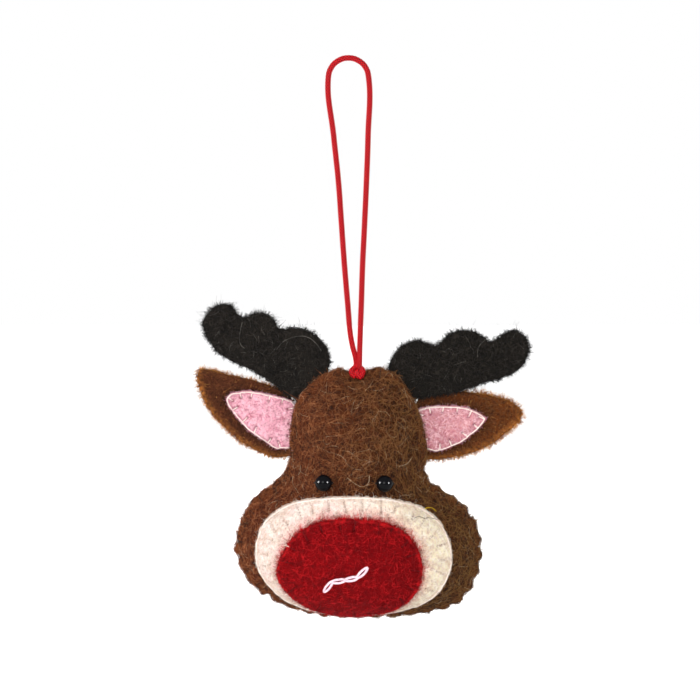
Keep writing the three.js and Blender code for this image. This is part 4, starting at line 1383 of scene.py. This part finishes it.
def roots(name, count, rng, facing=None, rim=0.0):
    """Random places on a felt with their normals. Rim weighs the sheet's edge more."""
    mesh = felts[name].data
    mesh.calc_loop_triangles()
    corners = corners_of(mesh)
    triangles = np.empty(3 * len(mesh.loop_triangles), dtype=int)
    mesh.loop_triangles.foreach_get("vertices", triangles)
    a, b, c = (corners[triangles.reshape(-1, 3)[:, i]] for i in range(3))
    cross = np.cross(b - a, c - a)
    area = np.linalg.norm(cross, axis=1)
    normal = cross / np.maximum(area, SMALLEST_AREA)[:, None]
    weight = area * (1 + rim * (np.abs(normal[:, 1]) < RIM_FACING))
    if facing:
        weight *= normal[:, 1] * facing > FACING_LEAST
    picks = rng.choice(len(area), size=2 * count, p=weight / weight.sum())
    u, v = rng.random((2, 2 * count))
    flip = u + v > 1
    u[flip], v[flip] = 1 - u[flip], 1 - v[flip]
    places = a[picks] + (b - a)[picks] * u[:, None] + (c - a)[picks] * v[:, None]
    found = []
    for place, out in zip(places, normal[picks]):
        spot, out = Vector(place), Vector(out)
        if (spot - KNOT_CENTRE).length > KNOT_CLEARANCE and not is_covered(name, spot, out):
            found.append((spot, out))
        if len(found) == count:
            break
    return found


# %% How a fibre runs
ROOT_DEPTH = 0.08 * MM
LYING_BEND = 0.32
LYING_WANDER = 0.2
STANDING_BEND = 0.4
LENGTH_SPREAD = (0.6, 1.4)
RADIUS_SPREAD = (0.7, 1.2)
TIP_SHARE = 0.35


def any_direction(rng):
    return Vector(rng.normal(size=3)).normalized()


def lying_fibre(surface, spot, normal, length, steps, rise, rng):
    """A fibre that follows the felt in a loose curve and lifts off it in its middle."""
    heading = any_direction(rng).cross(normal).normalized()
    bend = rng.normal(0, LYING_BEND)
    line = [spot - normal * ROOT_DEPTH]
    for i in range(1, steps):
        heading = Matrix.Rotation(bend + rng.normal(0, LYING_WANDER), 3, normal) @ heading
        spot, normal, _, _ = surface.find_nearest(spot + heading * length / (steps - 1))
        height = rise * math.sin(math.pi * (i + 0.5) / steps) + ROOT_DEPTH * 0.5
        line.append(spot + normal * height)
    return line


def standing_fibre(surface, spot, normal, length, steps, rise, rng):
    """A fibre that leaves the felt, leaning over by a random amount."""
    heading = (normal * rise + any_direction(rng)).normalized()
    bend = any_direction(rng) * abs(rng.normal(0, STANDING_BEND))
    line = [spot - normal * ROOT_DEPTH]
    for i in range(1, steps):
        heading = (heading + bend).normalized()
        line.append(line[-1] + heading * length / (steps - 1))
    return line


def wool(name, felt, grow, count, length, rise, radius, finish, slot, seed, steps=5, **where):
    rng = np.random.default_rng(seed)
    lines = []
    for spot, normal in roots(felt, count, rng, **where):
        reach = length * rng.uniform(*LENGTH_SPREAD)
        lines.append(np.array(grow(surfaces[felt], spot, normal, reach, steps, rise, rng)))
    return fibres(name, lines, radius, rng, finish, slot)


def fibres(name, lines, radius, rng, finish, slot):
    """One mesh with a tube for each line, thinner towards its tip."""
    radii = [
        radius * rng.uniform(*RADIUS_SPREAD) * np.linspace(1, TIP_SHARE, len(line)) for line in lines
    ]
    piece = tubes(name, lines, radii, "head")
    print(name, "has", len(lines), "fibres and", 2 * len(piece.data.polygons), "triangles")
    return dress(piece, finish, slot)


# %% Wool finishes
WOOL_SHADE_SIZE = 1.4 * MM
WOOL_LIGHT_ACROSS = (-30 * MM, 36 * MM)


def wool_material(name, light, dark, across=None):
    shader = new_shader(name)
    place = shader.place()
    shade = shader.noise(place, WOOL_SHADE_SIZE, detail=1.0, seed=8.0).smooth(0.35, 0.65)
    colour = shader.mix(shade, srgb(*dark), srgb(*light))
    # Across paints the same change of light from left to right on the fibres.
    if across:
        side = shader.axis(place, "X").smooth(*WOOL_LIGHT_ACROSS)
        colour = shader.mix(side, colour, srgb(*across))
    return shader.finish(Base_Color=colour, Roughness=0.75, Specular_IOR_Level=0.15)


# Where a row has a third colour, it is painted light towards the right of the head.
WOOL_COLOURS = {
    "light": ("light_brown_wool", "brown_felt", (176, 108, 70), (112, 60, 36), (130, 92, 50)),
    "mid": ("brown_wool", "brown_felt", (112, 58, 34), (80, 40, 22), (94, 60, 32)),
    "dark": ("dark_brown_wool", "brown_felt", (44, 23, 13), (24, 12, 7)),
    "gold": ("gold_wool", "brown_felt", (200, 140, 72), (140, 84, 38)),
    "cream": ("cream_wool", "cream_felt", (254, 244, 232), (226, 200, 180)),
    "red": ("red_wool", "red_felt", (196, 22, 28), (120, 4, 10)),
    "pink": ("pink_wool", "pink_felt", (254, 220, 228), (196, 118, 136)),
    "black": ("black_wool", "black_felt", (38, 34, 31), (12, 11, 10)),
    "pale": ("pale_wool", "brown_felt", (214, 184, 150), (150, 122, 94)),
    "grey": ("grey_wool", "black_felt", (112, 108, 102), (60, 58, 54)),
    "yellow": ("yellow_thread", "cream_thread", (250, 214, 40), (222, 176, 20)),
}
wool_finishes = {
    tint: (wool_material(name, *colours), slot)
    for tint, (name, slot, *colours) in WOOL_COLOURS.items()
}
print("wool finishes:", ", ".join(wool_finishes))

# %% Fibres that lie on the felt
FRONT = -1
BACK = 1
# Each row has a name, felt and tint, how many fibres, their length, rise and radius in millimetres,
# and the side of the felt that they grow on.
LYING = [
    ("face_wool_light", "face_felt", "light", 2100, 6, 0.45, 0.055, FRONT),
    ("face_wool_mid", "face_felt", "mid", 1100, 5, 0.4, 0.09, FRONT),
    ("face_wool_dark", "face_felt", "dark", 1400, 4, 0.25, 0.1, FRONT),
    ("back_wool_light", "back_felt", "light", 1400, 6, 0.45, 0.06, BACK),
    ("back_wool_dark", "back_felt", "dark", 900, 4, 0.25, 0.1, BACK),
    ("ear_wool_left", "ear_felt_left", "mid", 420, 3.5, 0.4, 0.07, None),
    ("ear_wool_right", "ear_felt_right", "mid", 420, 3.5, 0.4, 0.07, None),
    ("muzzle_wool", "muzzle_felt", "cream", 1300, 4.5, 0.3, 0.055, FRONT),
    ("nose_wool", "nose_felt", "red", 1300, 4, 0.3, 0.06, FRONT),
    ("inner_ear_wool_left", "inner_ear_felt_left", "pink", 300, 2.6, 0.25, 0.06, FRONT),
    ("inner_ear_wool_right", "inner_ear_felt_right", "pink", 280, 2.6, 0.25, 0.06, FRONT),
    ("antler_wool_left", "antler_felt_left", "black", 900, 3, 0.4, 0.08, None),
    ("antler_wool_right", "antler_felt_right", "black", 900, 3, 0.4, 0.08, None),
    ("antler_grey_left", "antler_felt_left", "grey", 120, 3, 0.3, 0.035, None),
    ("antler_grey_right", "antler_felt_right", "grey", 80, 3, 0.3, 0.03, None),
    ("face_pale", "face_felt", "pale", 160, 5, 0.5, 0.035, FRONT),
]
for seed, row in enumerate(LYING, start=100):
    name, felt, tint, count, length, rise, radius, facing = row
    wool(
        name, felt, lying_fibre, count, length * MM, rise * MM, radius * MM,
        *wool_finishes[tint], seed, steps=6, facing=facing)

# %% Nap, spikes and strays that stand off the felt
# The rows are as before, but rise is how straight a fibre stands, and the last number is how much
# more of them grow at the rim.
NAP = [
    ("face_nap", "face_felt", "mid", 3200, 1.1, 0.8, 0.065, FRONT, 6.0),
    ("back_nap", "back_felt", "light", 2600, 1.1, 0.8, 0.06, BACK, 6.0),
    ("ear_nap_left", "ear_felt_left", "gold", 1500, 0.6, 1.0, 0.055, None, 16.0),
    ("ear_nap_right", "ear_felt_right", "gold", 1500, 0.6, 1.0, 0.055, None, 16.0),
    ("muzzle_nap", "muzzle_felt", "cream", 1500, 0.9, 0.6, 0.04, FRONT, 0.0),
    ("nose_nap", "nose_felt", "red", 2600, 1.2, 0.6, 0.05, FRONT, 6.0),
    ("inner_ear_nap_left", "inner_ear_felt_left", "pink", 800, 0.9, 0.6, 0.035, FRONT, 1.0),
    ("inner_ear_nap_right", "inner_ear_felt_right", "pink", 700, 0.9, 0.6, 0.035, FRONT, 1.0),
    ("antler_nap_left", "antler_felt_left", "black", 2800, 0.5, 0.9, 0.07, None, 10.0),
    ("antler_nap_right", "antler_felt_right", "black", 2800, 0.5, 0.9, 0.07, None, 10.0),
]
SPIKES = [
    ("face_spikes", "face_felt", "light", 900, 1.5, 1.5, 0.08, None, 40.0),
    ("back_spikes", "back_felt", "light", 700, 1.5, 1.5, 0.08, None, 40.0),
    ("ear_spikes_left", "ear_felt_left", "gold", 900, 1.5, 1.7, 0.07, None, 300.0),
    ("ear_spikes_right", "ear_felt_right", "gold", 1200, 1.8, 1.7, 0.07, None, 300.0),
    ("antler_spikes_left", "antler_felt_left", "black", 900, 1.4, 1.7, 0.1, None, 80.0),
    ("antler_spikes_right", "antler_felt_right", "black", 900, 1.4, 1.7, 0.1, None, 80.0),
    ("face_strays", "face_felt", "light", 300, 4, 1.2, 0.035, None, 12.0),
    ("back_strays", "back_felt", "light", 260, 4, 1.2, 0.035, None, 12.0),
    ("ear_strays_left", "ear_felt_left", "gold", 110, 3, 1.2, 0.035, None, 20.0),
    ("ear_strays_right", "ear_felt_right", "gold", 110, 3, 1.2, 0.035, None, 20.0),
    ("antler_strays_left", "antler_felt_left", "black", 200, 3, 1.2, 0.04, None, 20.0),
    ("antler_strays_right", "antler_felt_right", "black", 200, 3, 1.2, 0.04, None, 20.0),
]
for steps, first_seed, table in ((3, 260, NAP), (4, 280, SPIKES)):
    for seed, row in enumerate(table, start=first_seed):
        name, felt, tint, count, length, rise, radius, facing, rim = row
        wool(
            name, felt, standing_fibre, count, length * MM, rise, radius * MM,
            *wool_finishes[tint], seed, steps=steps, facing=facing, rim=rim)

# %% [markdown]
# ## Fringes
#
# The edge of the red nose is ragged: its fibres stray over the cream felt. The cream patch does the
# same on the brown one, only less. Such fibres start on the outline found before, head outwards, and
# are draped over whatever the front shows.

# %% Fringes
FRINGE_STEPS = 5
FRINGE_LIFTS = np.array([0.02, 0.12, 0.16, 0.14, 0.08]) * MM
FRINGE_INSETS = (0.2, 0.8)
FRINGE_LENGTHS = (0.4, 1.6)
FRINGE_BEND = 0.3
DRAPE_JUMP = 2.6 * MM


def draped(places, lifts):
    """A line over the frontmost felts, which ends where it would leave them or jump a step."""
    line = []
    for (x, z), lift in zip(places, lifts):
        hit = drape(x, z)
        if hit is None or (line and abs(hit[0].y - line[-1].y) > DRAPE_JUMP + abs(line[-1].z - z)):
            break
        line.append(hit[0] + hit[1] * lift)
    return np.array(line) if len(line) >= FEWEST_SPOTS else None


def fringe(name, felt, tint, count, length, spread, radius, seed):
    rng = np.random.default_rng(seed)
    outline = outlines[felt]
    out = outward(outline)
    lines = []
    for at in rng.integers(len(outline), size=count):
        root = outline[at] - out[at] * rng.uniform(*FRINGE_INSETS) * MM
        spot = on_front(felt, root, 0)
        if spot is None or is_buried(spot):
            continue
        heading = math.atan2(out[at][2], out[at][0]) + rng.normal(0, spread)
        bend = rng.normal(0, FRINGE_BEND)
        x, z = root[[0, 2]]
        step = length * rng.uniform(*FRINGE_LENGTHS) / (FRINGE_STEPS - 1)
        places = [(x, z)]
        for _ in range(FRINGE_STEPS - 1):
            heading += bend
            x, z = x + step * math.cos(heading), z + step * math.sin(heading)
            places.append((x, z))
        lines.append(draped(places, FRINGE_LIFTS))
    lines = [line for line in lines if line is not None]
    return fibres(name, lines, radius, rng, *wool_finishes[tint])


# Each row has a name, felt and tint, how many fibres, their length in millimetres, how far they
# spread to the sides in radians, and their radius in millimetres.
FRINGES = [
    ("nose_fringe", "nose_felt", "red", 2400, 1.5, 0.6, 0.055),
    ("nose_long_fringe", "nose_felt", "red", 1100, 3, 0.8, 0.03),
    ("muzzle_fringe", "muzzle_felt", "cream", 300, 1.5, 1.1, 0.03),
    ("inner_ear_fringe_left", "inner_ear_felt_left", "pink", 260, 0.9, 0.7, 0.025),
    ("inner_ear_fringe_right", "inner_ear_felt_right", "pink", 260, 0.9, 0.7, 0.025),
]
for seed, (name, felt, tint, count, length, spread, radius) in enumerate(FRINGES, start=301):
    fringe(name, felt, tint, count, length * MM, spread, radius * MM, seed)

# %% [markdown]
# ## Single hairs
#
# Last come the single hairs that catch the eye, such as the pale curl between the eyes. Each is a
# radius and a few points as the front shows them, in millimetres.

# %% Single hairs
HAIR_LIFT = 0.35 * MM
HAIR_STEP = 0.5 * MM
HAIRS = {
    "pale": [
        (0.07, [(-0.5, -123.2), (2.1, -125), (4.3, -125.8), (5.8, -124.8), (6.1, -122.7)]),
        (0.06, [(14.8, -120.6), (17.4, -120.1), (19, -118.2)]),
        (0.06, [(-16.5, -124.4), (-16.5, -126.5), (-15.7, -127.8), (-14.8, -128.9)]),
    ],
    "cream": [(0.1, [(-19, -143.3), (-18.2, -143.1), (-17.4, -143.2)])],
    "dark": [
        (0.06, [(19.5, -135.3), (20.6, -135), (22.2, -135.6), (24.3, -135.8), (26.2, -136.6)]),
    ],
    "grey": [
        (0.06, [
            (-21.7, -86.2), (-19.6, -83.8), (-16.2, -82.4), (-12.7, -82.3), (-9.9, -84.2),
            (-8.2, -86.6),
        ]),
        (0.05, [(-32, -77.9), (-32.7, -81.4), (-32.6, -84.5), (-31.3, -85.9)]),
        (0.05, [(41.1, -83.2), (39.4, -85.1), (38.9, -86.8), (39, -88.5)]),
    ],
}
YELLOW_HAIR = (0.12, [(22.7, -133.5), (25.1, -133.8), (26.2, -134.9)])


def hair_line(places):
    flat, _ = smooth_line([Vector((x, 0, z)) * MM for x, z in places], HAIR_STEP)
    hits = [drape(x, z) for x, _, z in flat]
    return np.array([spot + normal * HAIR_LIFT for spot, normal in (hit for hit in hits if hit)])


def hairs(name, rows, tint):
    lines = [hair_line(places) for _, places in rows]
    piece = tubes(name, lines, [radius * MM for radius, _ in rows], "head", 1)
    print(name, "has", len(lines), "hairs")
    return dress(piece, *wool_finishes[tint])


for tint, rows in HAIRS.items():
    hairs(f"single_hairs_{tint}", rows, tint)
hairs("single_hair_yellow", [YELLOW_HAIR], "yellow")

# %% [markdown]
# ## Floor and world
#
# The ornament hangs in front of white. The world and the floor look white to the camera and in
# gloss, but light the object only softly, so that no colour washes out.

# %% Floor and world
FLOOR_DROP = 60 * MM
FLOOR_SIZE = 4.0
FLOOR_GLOW = 0.9
AMBIENT = 0.32


def white_world():
    shader = Shader(bpy.data.worlds.new("white"), surface="Background")
    strength = shader.background_rays() * (1 - AMBIENT) + AMBIENT
    return shader.finish(Color=(1, 1, 1, 1), Strength=strength)


def floor_material():
    shader = new_shader("floor")
    return shader.finish(
        Base_Color=(0.9, 0.9, 0.9, 1), Roughness=1.0, Emission_Color=(1, 1, 1, 1),
        Emission_Strength=shader.background_rays() * FLOOR_GLOW)


def floor():
    bm = bmesh.new()
    bmesh.ops.create_grid(bm, x_segments=1, y_segments=1, size=FLOOR_SIZE / 2)
    bmesh.ops.translate(bm, verts=bm.verts, vec=(0, 0, cad_low.z - FLOOR_DROP))
    plane = bpy.data.objects.new("floor", mesh_from("floor", bm))
    bpy.context.scene.collection.objects.link(plane)
    plane.data.materials.append(floor_material())


bpy.context.scene.world = white_world()
floor()
print("the floor lies in mm at", *in_mm(cad_low.z - FLOOR_DROP))

# %% [markdown]
# ## Light
#
# A large soft lamp near the camera and a little above it lights the face. A smaller lamp from the
# left gives the felt its shape, a weaker one from the right fills the shadows, and a lamp from behind
# lights the loose fibres at the rim. Two more lamps light only the beads. A glossy ball could show a
# picture of a studio, but a lamp on each side is enough for the glint that makes an eye. Places are
# in metres from the camera's focus.

# %% Light
def lamp(name, place, size, power, only=None):
    """A round lamp aimed at the ornament. It can light some pieces only."""
    data = bpy.data.lights.new(name, "AREA")
    data.shape = "DISK"
    data.size = size
    data.energy = power
    light = bpy.data.objects.new(name, data)
    light.location = CAMERA_FOCUS + Vector(place)
    light.rotation_euler = (-Vector(place)).to_track_quat("-Z", "Y").to_euler()
    bpy.context.scene.collection.objects.link(light)
    if only:
        lit = bpy.data.collections.new(name)
        for piece in only:
            lit.objects.link(piece)
        light.light_linking.receiver_collection = lit


# Each lamp has its place, its size and its power.
LAMPS = {
    "key": ((-0.15, -0.9, 0.32), 0.5, 6.2),
    "left": ((-0.7, -0.35, 0.25), 0.3, 3.8),
    "right": ((0.68, -0.38, 0.2), 0.3, 1.8),
    "rear": ((0.1, 0.7, 0.4), 0.6, 3.5),
}
CATCHLIGHTS = {
    "left catchlight": ((-0.82, -0.2, 0.16), 0.3, 28),
    "right catchlight": ((0.68, -0.42, 0.16), 0.24, 24),
}
for name, (place, size, power) in LAMPS.items():
    lamp(name, place, size, power)
for name, (place, size, power) in CATCHLIGHTS.items():
    lamp(name, place, size, power, beads)
bpy.context.scene.view_settings.view_transform = "Standard"
print("lamps:", ", ".join([*LAMPS, *CATCHLIGHTS]))
